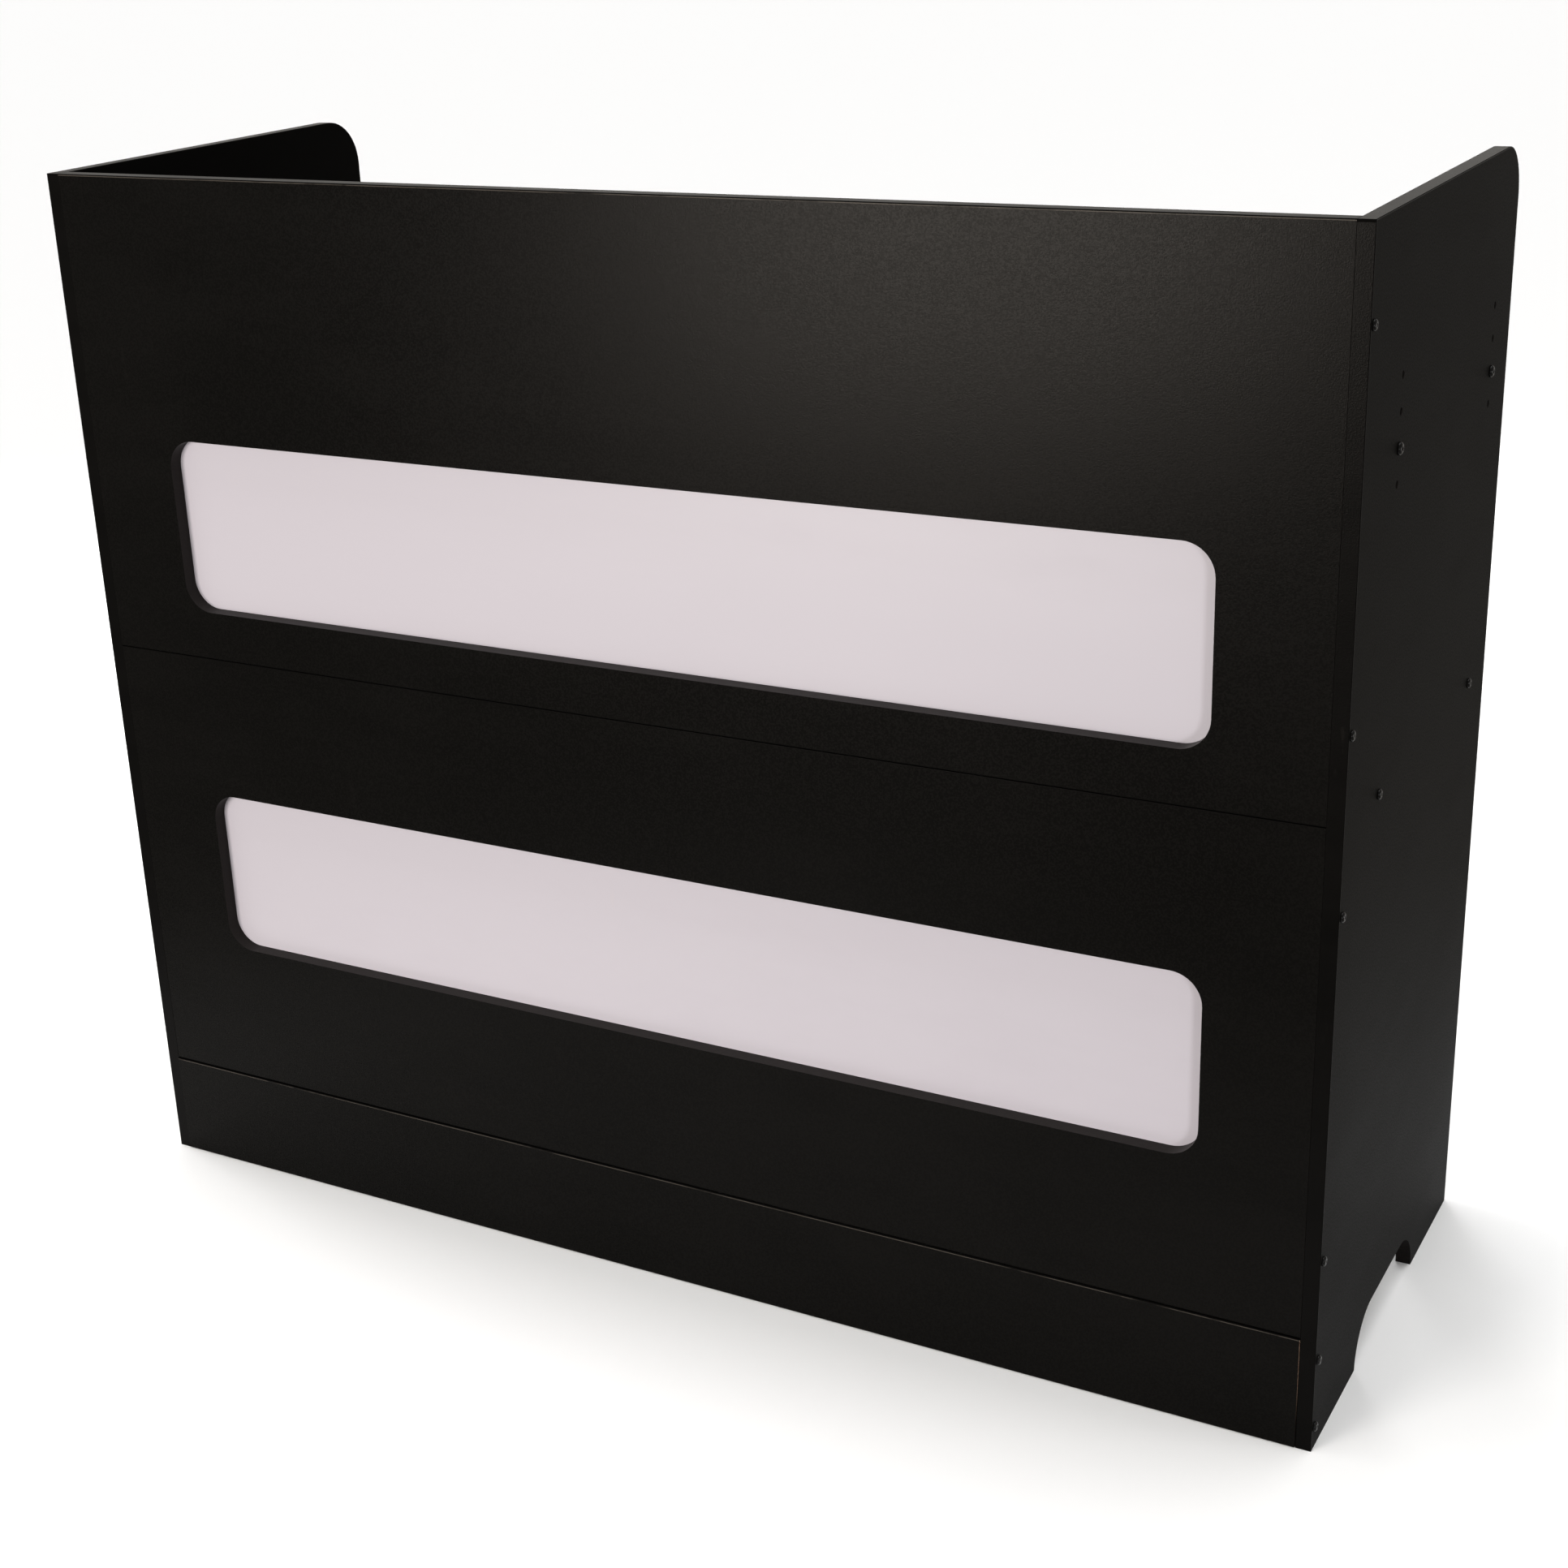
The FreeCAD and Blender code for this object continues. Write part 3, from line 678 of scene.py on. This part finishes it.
@dataclass(frozen=True, kw_only=True)
class MouldedPlastic(Finish):
    """Matte black plastic with a spark-eroded mould texture."""

    base: Colour = (0.008, 0.008, 0.008)
    light: Colour = (0.014, 0.014, 0.0135)
    bumps: float = 1800.0
    relief_depth: float = 0.03 * MM
    smooth: float = 0.5
    dull: float = 0.62

    def build(self, effects: Effects) -> bpy.types.Material:
        """Make the material.

        Args:
            effects: The shared effects.

        Returns:
            The material.
        """
        material, graph, shader, coordinates = self.start()
        place = coordinates.outputs["Object"]
        pearl = graph.effect(effects.pearl, place=place, bumps=self.bumps)
        speckle = pearl.outputs["Speckle"]
        graph.feed(shader.inputs["Base Color"], graph.mix(speckle, self.base, self.light))
        graph.feed(shader.inputs["Roughness"], graph.blend(speckle, self.smooth, self.dull))
        graph.feed(shader.inputs["Normal"], graph.relief(pearl.outputs["Height"], self.relief_depth))
        return material


class Finishes:
    """Every finish of the booth as a material."""

    warm_gloss: Colour = (1.0, 0.95, 0.9)

    def __init__(self) -> None:
        """Build the shared effects and then each material."""
        effects = Effects()
        front = Melamine(
            name="melamine_front", ior=1.128, gloss_tint=self.warm_gloss, thickness=Thickness.FRONT,
            cut_edge=CutEdge.SEALED, highlight_line_top=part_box("upper_front_panel")[1].z,
        )
        self.front = front.build(effects)
        self.plinth = replace(
            front, name="melamine_plinth", cut_edge=CutEdge.RAW, highlight_line_top=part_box("plinth_panel")[1].z,
        ).build(effects)
        plain = replace(front, highlight_line_top=0.0)
        self.side = replace(
            plain, name="melamine_side", ior=1.068, thickness=Thickness.SIDE,
            face_roughness=0.46, marked_roughness=0.52,
        ).build(effects)
        # Lighter face, speckle and mark colours than the other boards of the same melamine: painted light on
        # the upward-facing decks.
        self.deck = replace(
            plain, name="melamine_deck", ior=1.22, thickness=Thickness.DECK, cut_edge=CutEdge.RAW,
            face=(0.0075, 0.0071, 0.0067), face_light=(0.0098, 0.0093, 0.0088),
            mark=(0.013, 0.0124, 0.0117),
        ).build(effects)
        self.edging = EdgeBand(name="edge_band", ior=1.122, gloss_tint=self.warm_gloss).build(effects)
        self.opal = OpalAcrylic(name="opal_sheet", ior=1.49).build(effects)
        self.black_steel = Steel(
            name="blackened_steel", ior=1.2, base=(0.003, 0.0029, 0.0028), worn=(0.006, 0.0056, 0.0052),
            smooth=0.2, dull=0.28,
        ).build(effects)
        self.zinc_steel = Steel(
            name="zinc_plate", ior=1.45, metallic=1.0, base=(0.62, 0.62, 0.60), worn=(0.48, 0.47, 0.45),
            smooth=0.26, dull=0.4,
        ).build(effects)
        self.clip = MouldedPlastic(name="moulded_plastic", ior=1.3).build(effects)


# Pieces


@dataclass
class CarriedPieces:
    """CAD nodes whose shape is right: the boards, their bands, the opal sheets and the nuts."""

    finishes: Finishes
    side_boards: tuple[str, ...] = ("left_side_panel", "right_side_panel")
    front_boards: tuple[str, ...] = ("upper_front_panel", "lower_front_panel")
    plinths: tuple[str, ...] = ("plinth_panel",)
    decks: tuple[str, ...] = ("worktop", "middle_shelf")
    panes: tuple[str, ...] = ("upper_window_pane", "lower_window_pane")
    nuts: tuple[str, ...] = ("worktop_barrel_nuts",)

    def bands(self) -> list[str]:
        """Return the names of all edge bands."""
        return [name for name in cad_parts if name.endswith("_edging")]

    def dress(self) -> None:
        """Give each node its finish."""
        for names, material in (
            (self.side_boards, self.finishes.side),
            (self.front_boards, self.finishes.front),
            (self.plinths, self.finishes.plinth),
            (self.decks, self.finishes.deck),
            (self.bands(), self.finishes.edging),
            (self.panes, self.finishes.opal),
            (self.nuts, self.finishes.zinc_steel),
        ):
            for name in names:
                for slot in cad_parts[name].material_slots:
                    slot.material = material
                log.info("%s: %s", name, material.name)


class NewPiece:
    """A mesh modelled here that stands for a CAD node."""

    def __init__(self, name: str, node: str, slot: Slot, material: bpy.types.Material) -> None:
        """Start an empty mesh.

        Args:
            name: Name of the piece.
            node: CAD node that it stands for.
            slot: Material slot of the record; not used.
            material: Its finish.
        """
        self.name = name
        self.node = node
        self.slot = slot
        self.material = material
        self.shape = bmesh.new()
        self.shape.verts.layers.float.new(BARE_METAL)

    def finish(self) -> bpy.types.Object:
        """Turn the shape into an object on its body.

        Returns:
            The finished object.
        """
        bmesh.ops.remove_doubles(self.shape, verts=self.shape.verts, dist=WELD)
        bmesh.ops.recalc_face_normals(self.shape, faces=self.shape.faces)
        for face in self.shape.faces:
            face.smooth = True
        for edge in self.shape.edges:
            edge.smooth = edge.is_manifold and edge.calc_face_angle(0.0) < SMOOTH_BELOW
        mesh = bpy.data.meshes.new(self.name)
        self.shape.to_mesh(mesh)
        self.shape.free()
        mesh.materials.append(self.material)
        piece = bpy.data.objects.new(self.name, mesh)
        bpy.context.scene.collection.objects.link(piece)
        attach(piece, BODY)
        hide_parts(self.node)
        log.info("%s: %d faces, stands for %s", self.name, len(mesh.polygons), self.node)
        return piece


def round_edges(shape: bmesh.types.BMesh, edges: list, offset: float, steps: int) -> None:
    """Round edges of a shape.

    Args:
        shape: Mesh that the edges belong to.
        edges: Edges to round.
        offset: How far the rounding reaches.
        steps: Faces across the rounding.
    """
    bmesh.ops.bevel(
        shape, geom=edges, offset=offset, segments=steps, affect="EDGES", profile=0.5, material=-1,
    )


@dataclass
class TurnedScrew:
    """A screw turned about the X axis, its head seated at the origin and pointing to +X."""

    shank_radius: float
    length: float
    point: float
    head_radius: float
    head_height: float
    dome: float
    segments: int = 48
    dome_steps: int = 6
    crown_share: float = 0.93
    seat_share: float = 0.07
    mouth_round: float = 0.1 * MM
    fine_steps: int = 2

    def top(self) -> Matrix:
        """Return the place of the head's flat top, with Z along the screw."""
        return Matrix.Translation((self.head_height, 0, 0)) @ Matrix.Rotation(math.pi / 2, 4, "Y")

    def turn(self, shape: bmesh.types.BMesh) -> list[bmesh.types.BMEdge]:
        """Spin the profile and round its head.

        Args:
            shape: Mesh that the screw is added to.

        Returns:
            The ring of edges round the open top of the head.
        """
        shape.verts.layers.float.new(BARE_METAL)
        crown = self.head_radius - self.dome
        profile = (
            (-self.length, 0.0),
            (self.point - self.length, self.shank_radius),
            (0.0, self.shank_radius),
            (0.0, self.head_radius),
            (self.head_height, self.head_radius),
            (self.head_height, crown * self.crown_share),
        )
        verts = [shape.verts.new((x, r, 0.0)) for x, r in profile]
        edges = [shape.edges.new(pair) for pair in zip(verts, verts[1:])]
        bmesh.ops.spin(
            shape, geom=verts + edges, cent=(0, 0, 0), axis=(1, 0, 0), angle=math.tau,
            steps=self.segments, use_merge=True,
        )
        bmesh.ops.remove_doubles(shape, verts=shape.verts, dist=WELD)
        round_edges(shape, self.brim(shape, self.head_height), self.dome, self.dome_steps)
        round_edges(shape, self.brim(shape, 0.0), self.head_height * self.seat_share, self.fine_steps)
        return [edge for edge in shape.edges if edge.is_boundary]

    def brim(self, shape: bmesh.types.BMesh, x: float) -> list[bmesh.types.BMEdge]:
        """Find the ring of edges round the widest part of the head.

        Args:
            shape: Mesh of the screw.
            x: Place of the ring along the axis.

        Returns:
            The edges of the ring.
        """
        on_ring = {
            vert for vert in shape.verts
            if abs(vert.co.x - x) < NEAR and abs(vert.co.yz.length - self.head_radius) < NEAR
        }
        return [edge for edge in shape.edges if on_ring.issuperset(edge.verts)]

    def sink(self, shape: bmesh.types.BMesh, rim: list, mouth: list, depth: float, taper: float) -> None:
        """Join the head's open top to a recess and give that its walls and floor.

        Args:
            shape: Mesh of the screw.
            rim: Ring of edges round the open top.
            mouth: Ring of as many edges round the recess.
            depth: Depth of the recess.
            taper: Size of its floor against its mouth.
        """
        bmesh.ops.bridge_loops(shape, edges=rim + mouth)
        walls = bmesh.ops.extrude_edge_only(shape, edges=mouth)["geom"]
        sunk = [item for item in walls if isinstance(item, bmesh.types.BMVert)]
        floor = [item for item in walls if isinstance(item, bmesh.types.BMEdge) and item.is_boundary]
        bmesh.ops.scale(shape, vec=(1.0, taper, taper), verts=sunk)
        bmesh.ops.translate(shape, vec=(-depth, 0, 0), verts=sunk)
        rubbed = shape.verts.layers.float[BARE_METAL]
        for vert in sunk:
            vert[rubbed] = 1.0
        bmesh.ops.edgeloop_fill(shape, edges=floor)
        round_edges(shape, mouth, self.mouth_round, self.fine_steps)

    def divide(self, shape: bmesh.types.BMesh, outline: list) -> list[bmesh.types.BMEdge]:
        """Split a recess's outline into as many edges as the head has round it.

        Args:
            shape: Mesh of the screw.
            outline: Edges of the outline.

        Returns:
            The edges after the split.
        """
        cuts = self.segments // len(outline) - 1
        split = bmesh.ops.subdivide_edges(shape, edges=outline, cuts=cuts)["geom_split"]
        return [item for item in split if isinstance(item, bmesh.types.BMEdge)]


@dataclass
class ButtonHeads:
    """Pairs of socket-head screws or bolts through both side panels."""

    node: str
    name: str
    screw: TurnedScrew
    socket_flats: float
    socket_depth: float
    socket_taper: float = 1.0

    def spread(self, low: float, high: float) -> tuple[float, ...]:
        """Find the middles of the heads along one axis of the node's box.

        Args:
            low: Lower end of the box.
            high: Upper end of the box.

        Returns:
            Two middles, or one where the box is narrow.
        """
        radius = self.screw.head_radius
        if high - low < 4 * radius:
            return ((low + high) / 2,)
        return (low + radius, high - radius)

    def places(self) -> list[Matrix]:
        """Find where the node's four screws sit, from its box.

        Returns:
            A place for each screw.
        """
        low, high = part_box(self.node)
        seat = high.x - self.screw.head_height
        turned = Matrix.Rotation(math.pi, 4, "Z")
        found = []
        for y in self.spread(low.y, high.y):
            for z in self.spread(low.z, high.z):
                found.append(Matrix.Translation((seat, y, z)))
                found.append(Matrix.Translation((-seat, y, z)) @ turned)
        return found

    def build(self, material: bpy.types.Material) -> bpy.types.Object:
        """Model the screws.

        Args:
            material: Finish of the steel.

        Returns:
            The finished object.
        """
        piece = NewPiece(self.name, self.node, Slot.BLACK_STEEL, material)
        single = bmesh.new()
        rim = self.screw.turn(single)
        hexagon = bmesh.ops.create_circle(
            single, segments=6, radius=self.socket_flats / math.sqrt(3), matrix=self.screw.top(),
        )["verts"]
        sides = list(dict.fromkeys(edge for vert in hexagon for edge in vert.link_edges))
        mouth = self.screw.divide(single, sides)
        self.screw.sink(single, rim, mouth, self.socket_depth, self.socket_taper)
        place_copies(single, piece.shape, self.places())
        return piece.finish()


def place_copies(single: bmesh.types.BMesh, into: bmesh.types.BMesh, places: Iterable[Matrix]) -> None:
    """Add a copy of one shape at each place.

    Args:
        single: Shape to copy, which is used up.
        into: Mesh that gets the copies.
        places: Where each copy goes.
    """
    template = bpy.data.meshes.new("template")
    single.to_mesh(template)
    single.free()
    for place in places:
        moved = template.copy()
        moved.transform(place)
        into.from_mesh(moved)
        bpy.data.meshes.remove(moved)
    bpy.data.meshes.remove(template)


@dataclass
class WindowFixings:
    """Stepped clips over the long edges of an opal sheet and their small cross-recessed screws."""

    level: str
    screw: TurnedScrew
    sheet: float = 4 * MM
    clip_thick: float = 2 * MM
    clip_width: float = 14 * MM
    clip_length: float = 26 * MM
    clip_lap: float = 8 * MM
    clip_play: float = 0.3 * MM
    clip_corner: float = 2.5 * MM
    clip_arris: float = 0.35 * MM
    recess_arm: float = 1.1 * MM
    recess_reach: float = 3.6 * MM
    recess_depth: float = 1.3 * MM
    recess_taper: float = 0.55
    corner_steps: int = 6
    arris_steps: int = 2

    def places(self) -> list[Matrix]:
        """Find where the tips of the clips sit on the back of the front panel, from the clips' box.

        Returns:
            A place for each clip.
        """
        low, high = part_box(f"{self.level}_pane_clips")
        turned = Matrix.Rotation(math.pi, 4, "Y")
        found = []
        for x in (low.x + self.clip_width / 2, high.x - self.clip_width / 2):
            found.append(Matrix.Translation((x, low.y, high.z - self.clip_length)))
            found.append(Matrix.Translation((x, low.y, low.z + self.clip_length)) @ turned)
        return found

    def build_clips(self, material: bpy.types.Material) -> bpy.types.Object:
        """Model the clips with rounded corners and broken edges.

        Args:
            material: Finish of the plastic.

        Returns:
            The finished object.
        """
        piece = NewPiece(f"{self.level}_window_clips", f"{self.level}_pane_clips", Slot.CLIP, material)
        single = bmesh.new()
        left = -self.clip_width / 2
        back = self.sheet + self.clip_thick
        step = self.clip_lap + self.clip_play
        heel = step + self.clip_thick
        profile = (
            (self.sheet, 0.0), (back, 0.0), (back, heel), (self.clip_thick, heel),
            (self.clip_thick, self.clip_length), (0.0, self.clip_length), (0.0, step), (self.sheet, step),
        )
        side = single.faces.new([single.verts.new((left, y, z)) for y, z in profile])
        swept = bmesh.ops.extrude_face_region(single, geom=[side])["geom"]
        far = [item for item in swept if isinstance(item, bmesh.types.BMVert)]
        bmesh.ops.translate(single, vec=(self.clip_width, 0, 0), verts=far)
        bmesh.ops.recalc_face_normals(single, faces=single.faces)
        ends = [
            edge for edge in single.edges
            if abs(edge.verts[0].co.y - edge.verts[1].co.y) > self.clip_thick / 2
            and min(abs(edge.verts[0].co.z), abs(edge.verts[0].co.z - self.clip_length)) < NEAR
        ]
        round_edges(single, ends, self.clip_corner, self.corner_steps)
        arrises = [edge for edge in single.edges if edge.calc_face_angle(0.0) > SHARP_ABOVE]
        round_edges(single, arrises, self.clip_arris, self.arris_steps)
        place_copies(single, piece.shape, self.places())
        return piece.finish()

    def build_screws(self, material: bpy.types.Material) -> bpy.types.Object:
        """Model the clip screws.

        Args:
            material: Finish of the steel.

        Returns:
            The finished object.
        """
        node = f"{self.level}_clip_screws"
        low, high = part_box(node)
        radius = self.screw.head_radius
        seat = high.y - self.screw.head_height
        piece = NewPiece(f"{self.level}_window_screws", node, Slot.ZINC_STEEL, material)
        single = bmesh.new()
        rim = self.screw.turn(single)
        mouth = self.cross(single)
        self.screw.sink(single, rim, mouth, self.recess_depth, self.recess_taper)
        turned = Matrix.Rotation(math.pi / 2, 4, "Z")
        places = [
            Matrix.Translation((x, seat, z)) @ turned
            for x in (low.x + radius, high.x - radius)
            for z in (low.z + radius, high.z - radius)
        ]
        place_copies(single, piece.shape, places)
        return piece.finish()

    def cross(self, shape: bmesh.types.BMesh) -> list[bmesh.types.BMEdge]:
        """Draw the mouth of the cross recess on the head's top.

        Args:
            shape: Mesh of the screw.

        Returns:
            The ring of edges, as many as the head has round it.
        """
        reach = self.recess_reach / 2
        grid = bmesh.ops.create_grid(shape, x_segments=3, y_segments=3, size=reach, matrix=self.screw.top())
        half = self.recess_arm / 2
        for vert in grid["verts"]:
            for axis in (1, 2):
                if abs(vert.co[axis]) < reach - NEAR:
                    vert.co[axis] = math.copysign(half, vert.co[axis])
        faces = list(dict.fromkeys(face for vert in grid["verts"] for face in vert.link_faces))
        corners = [
            face for face in faces
            if min(abs(face.calc_center_median().y), abs(face.calc_center_median().z)) > half
        ]
        bmesh.ops.delete(shape, geom=corners, context="FACES")
        arms = [face for face in faces if face.is_valid]
        outline = [edge for face in arms for edge in face.edges if edge.is_boundary]
        bmesh.ops.delete(shape, geom=arms, context="FACES_ONLY")
        inner = [edge for edge in shape.edges if edge.is_wire and edge not in outline]
        bmesh.ops.delete(shape, geom=inner, context="EDGES")
        return self.screw.divide(shape, outline)


@dataclass
class Fasteners:
    """All screws, bolts and clips."""

    finishes: Finishes

    def build(self) -> None:
        """Model every group of fasteners."""
        panel_screw = TurnedScrew(
            shank_radius=2.5 * MM, length=50 * MM, point=5 * MM,
            head_radius=4.75 * MM, head_height=2.75 * MM, dome=2.3 * MM,
        )
        bolt = TurnedScrew(
            shank_radius=3 * MM, length=60 * MM, point=5 * MM,
            head_radius=5.5 * MM, head_height=3.3 * MM, dome=2.7 * MM,
        )
        clip_screw = TurnedScrew(
            shank_radius=1.75 * MM, length=12 * MM, point=3 * MM,
            head_radius=3.5 * MM, head_height=2.2 * MM, dome=1.3 * MM,
        )
        for place in ("upper_front", "lower_front", "plinth", "shelf"):
            heads = ButtonHeads(f"{place}_screws", f"{place}_button_screws", panel_screw, 3 * MM, 1.6 * MM)
            heads.build(self.finishes.black_steel)
        bolts = ButtonHeads("worktop_bolts", "worktop_button_bolts", bolt, 4 * MM, 1.9 * MM)
        bolts.build(self.finishes.black_steel)
        for level in ("upper", "lower"):
            fixings = WindowFixings(level, clip_screw)
            fixings.build_clips(self.finishes.clip)
            fixings.build_screws(self.finishes.zinc_steel)


# Studio


@dataclass(frozen=True)
class PhotoCamera:
    """The camera that took the photograph, as fitted to the booth's straight edges."""

    lens: float = 56.2586
    sensor: float = 36.0
    shift: tuple[float, float] = (0.034106, 0.003088)
    place: Point = (1.152979, -2.089211, 1.384911)
    right: Point = (0.87366233, 0.48480234, -0.04099783)
    down: Point = (0.14242515, -0.33541583, -0.9312418)
    forward: Point = (-0.46521953, 0.80775176, -0.36208822)

    def build(self) -> None:
        """Make the scene's camera."""
        data = bpy.data.cameras.new("photo_camera")
        data.lens = self.lens
        data.sensor_width = self.sensor
        data.shift_x, data.shift_y = self.shift
        camera = bpy.data.objects.new("photo_camera", data)
        turn = Matrix((self.right, -Vector(self.down), -Vector(self.forward))).transposed()
        camera.matrix_world = Matrix.Translation(self.place) @ turn.to_4x4()
        bpy.context.scene.collection.objects.link(camera)
        bpy.context.scene.camera = camera


@dataclass(frozen=True)
class Softbox:
    """An upright soft lamp."""

    name: str
    power: float
    size: tuple[float, float]
    place: Point
    aim: Point
    colour: Colour = (1.0, 1.0, 1.0)

    def lamp(self) -> bpy.types.Light:
        """Make the lamp.

        Returns:
            Its light data.
        """
        lamp = bpy.data.lights.new(self.name, "AREA")
        lamp.shape = "RECTANGLE"
        lamp.size, lamp.size_y = self.size
        lamp.energy = self.power
        lamp.color = self.colour
        return lamp


@dataclass(frozen=True)
class PaperEdge:
    """A straight soft edge of the white paper under the booth, across x and y by these shares."""

    across: tuple[float, float]
    start: float
    end: float


@dataclass(frozen=True)
class Studio:
    """White paper on a plain floor, plain surroundings and soft lamps."""

    floor_reach: float = 60.0
    paper: Colour = (1.0, 1.0, 1.0)
    paper_bounce: Colour = (0.12, 0.12, 0.12)
    outskirts: Colour = (0.52, 0.495, 0.46)
    outskirts_bounce: Colour = (0.1, 0.1, 0.1)
    backdrop: Colour = (0.6, 0.575, 0.54)
    horizon: Colour = (0.38, 0.35, 0.315)
    zenith: Colour = (0.18, 0.175, 0.17)
    fade: tuple[float, float] = (0.03, 0.4)
    sky_strength: float = 2.5
    sky_width: float = 50.0
    sky_place: Point = (0.0, 0.0, 4.0)
    sky_aim: Point = (0.05, -0.08, 3.0)
    paper_edges: tuple[PaperEdge, ...] = (
        PaperEdge((1.0, 0.16), 0.86, 0.96),
        PaperEdge((-0.49, 1.0), -0.76, -1.4),
        PaperEdge((1.0, 1.0), -1.22, -2.0),
    )
    softboxes: tuple[Softbox, ...] = (
        Softbox(
            "front_softbox", 86.0, (1.3, 1.1), (-0.93, -3.2, 0.83), (0.2, -0.24, 0.7), (1.0, 0.955, 0.905),
        ),
        Softbox("front_right_softbox", 28.0, (0.6, 0.8), (2.6, -2.6, 0.8), (0.3, -0.24, 0.5)),
        Softbox("rear_softbox", 90.0, (1.4, 1.0), (-1.5, 3.2, 0.54), (0.0, 0.0, 0.54)),
        Softbox("right_softbox", 26.0, (1.0, 1.0), (3.2, 0.3, 0.54), (0.66, 0.1, 0.54)),
        Softbox("left_softbox", 60.0, (1.0, 1.0), (-3.2, 0.3, 0.54), (-0.66, 0.1, 0.54)),
    )

    def build_floor(self) -> None:
        """Lay the floor, which shows the booth's shadow."""
        shape = bmesh.new()
        bmesh.ops.create_grid(shape, x_segments=1, y_segments=1, size=self.floor_reach)
        mesh = bpy.data.meshes.new("studio_floor")
        shape.to_mesh(mesh)
        shape.free()
        material = bpy.data.materials.new("studio_floor")
        material.use_nodes = True
        graph = Graph(material.node_tree)
        seen = graph.seen()
        x, y, _ = graph.parts(graph.add("ShaderNodeTexCoord").outputs["Object"])
        off_paper: Feed = 0.0
        for edge in self.paper_edges:
            sideways = graph.math("MULTIPLY", x, edge.across[0])
            distance = graph.math("MULTIPLY_ADD", y, edge.across[1], sideways)
            off_paper = graph.math("MAXIMUM", off_paper, graph.ease(distance, edge.start, edge.end))
        paper = graph.add("ShaderNodeBsdfDiffuse")
        graph.feed(paper.inputs["Color"], graph.mix(seen, self.paper_bounce, self.paper))
        beyond = graph.add("ShaderNodeEmission")
        graph.feed(beyond.inputs["Color"], graph.mix(seen, self.outskirts_bounce, self.outskirts))
        cover = graph.add("ShaderNodeMixShader")
        graph.feed(cover.inputs[0], off_paper)
        graph.feed(cover.inputs[1], paper.outputs["BSDF"])
        graph.feed(cover.inputs[2], beyond.outputs["Emission"])
        output = graph.add("ShaderNodeOutputMaterial")
        graph.feed(output.inputs["Surface"], cover.outputs["Shader"])
        mesh.materials.append(material)
        floor = bpy.data.objects.new("studio_floor", mesh)
        bpy.context.scene.collection.objects.link(floor)

    def build_world(self) -> None:
        """Make a plain pale backdrop, whose light is brighter at the horizon than above."""
        world = bpy.data.worlds.new("studio_surroundings")
        world.use_nodes = True
        graph = Graph(world.node_tree)
        direction = graph.add("ShaderNodeTexCoord").outputs["Generated"]
        height = graph.parts(direction)[2]
        background = graph.add("ShaderNodeBackground")
        shade = graph.mix(graph.ease(height, *self.fade), self.horizon, self.zenith)
        graph.feed(background.inputs["Color"], graph.mix(graph.seen(), shade, self.backdrop))
        output = graph.add("ShaderNodeOutputWorld")
        graph.feed(output.inputs["Surface"], background.outputs["Background"])
        bpy.context.scene.world = world

    def build_lamps(self) -> None:
        """Hang a broad soft light above, and stand softboxes round the booth."""
        sky = bpy.data.lights.new("overhead_light", "SUN")
        sky.energy = self.sky_strength
        sky.angle = math.radians(self.sky_width)
        self.hang("overhead_light", sky, Vector(self.sky_place), Vector(self.sky_aim))
        for box in self.softboxes:
            self.hang(box.name, box.lamp(), Vector(box.place), Vector(box.aim))

    @staticmethod
    def hang(name: str, lamp: bpy.types.Light, place: Vector, aim: Vector) -> None:
        """Put a lamp at a place and turn it to a point.

        Args:
            name: Name of the lamp's object.
            lamp: Light data.
            place: Where it hangs.
            aim: What it points at.
        """
        hung = bpy.data.objects.new(name, lamp)
        hung.location = place
        hung.rotation_euler = (aim - place).to_track_quat("-Z", "Y").to_euler()
        bpy.context.scene.collection.objects.link(hung)

    def build(self) -> None:
        """Set up everything that isn't the booth."""
        self.build_floor()
        self.build_world()
        self.build_lamps()
        bpy.context.scene.view_settings.view_transform = "Standard"


def main() -> None:
    """Dress the CAD nodes, model the fasteners and set up the studio."""
    logging.basicConfig(level=logging.INFO, format="%(name)s: %(message)s")
    finishes = Finishes()
    CarriedPieces(finishes).dress()
    Fasteners(finishes).build()
    PhotoCamera().build()
    Studio().build()


if __name__ == "__main__":
    main()
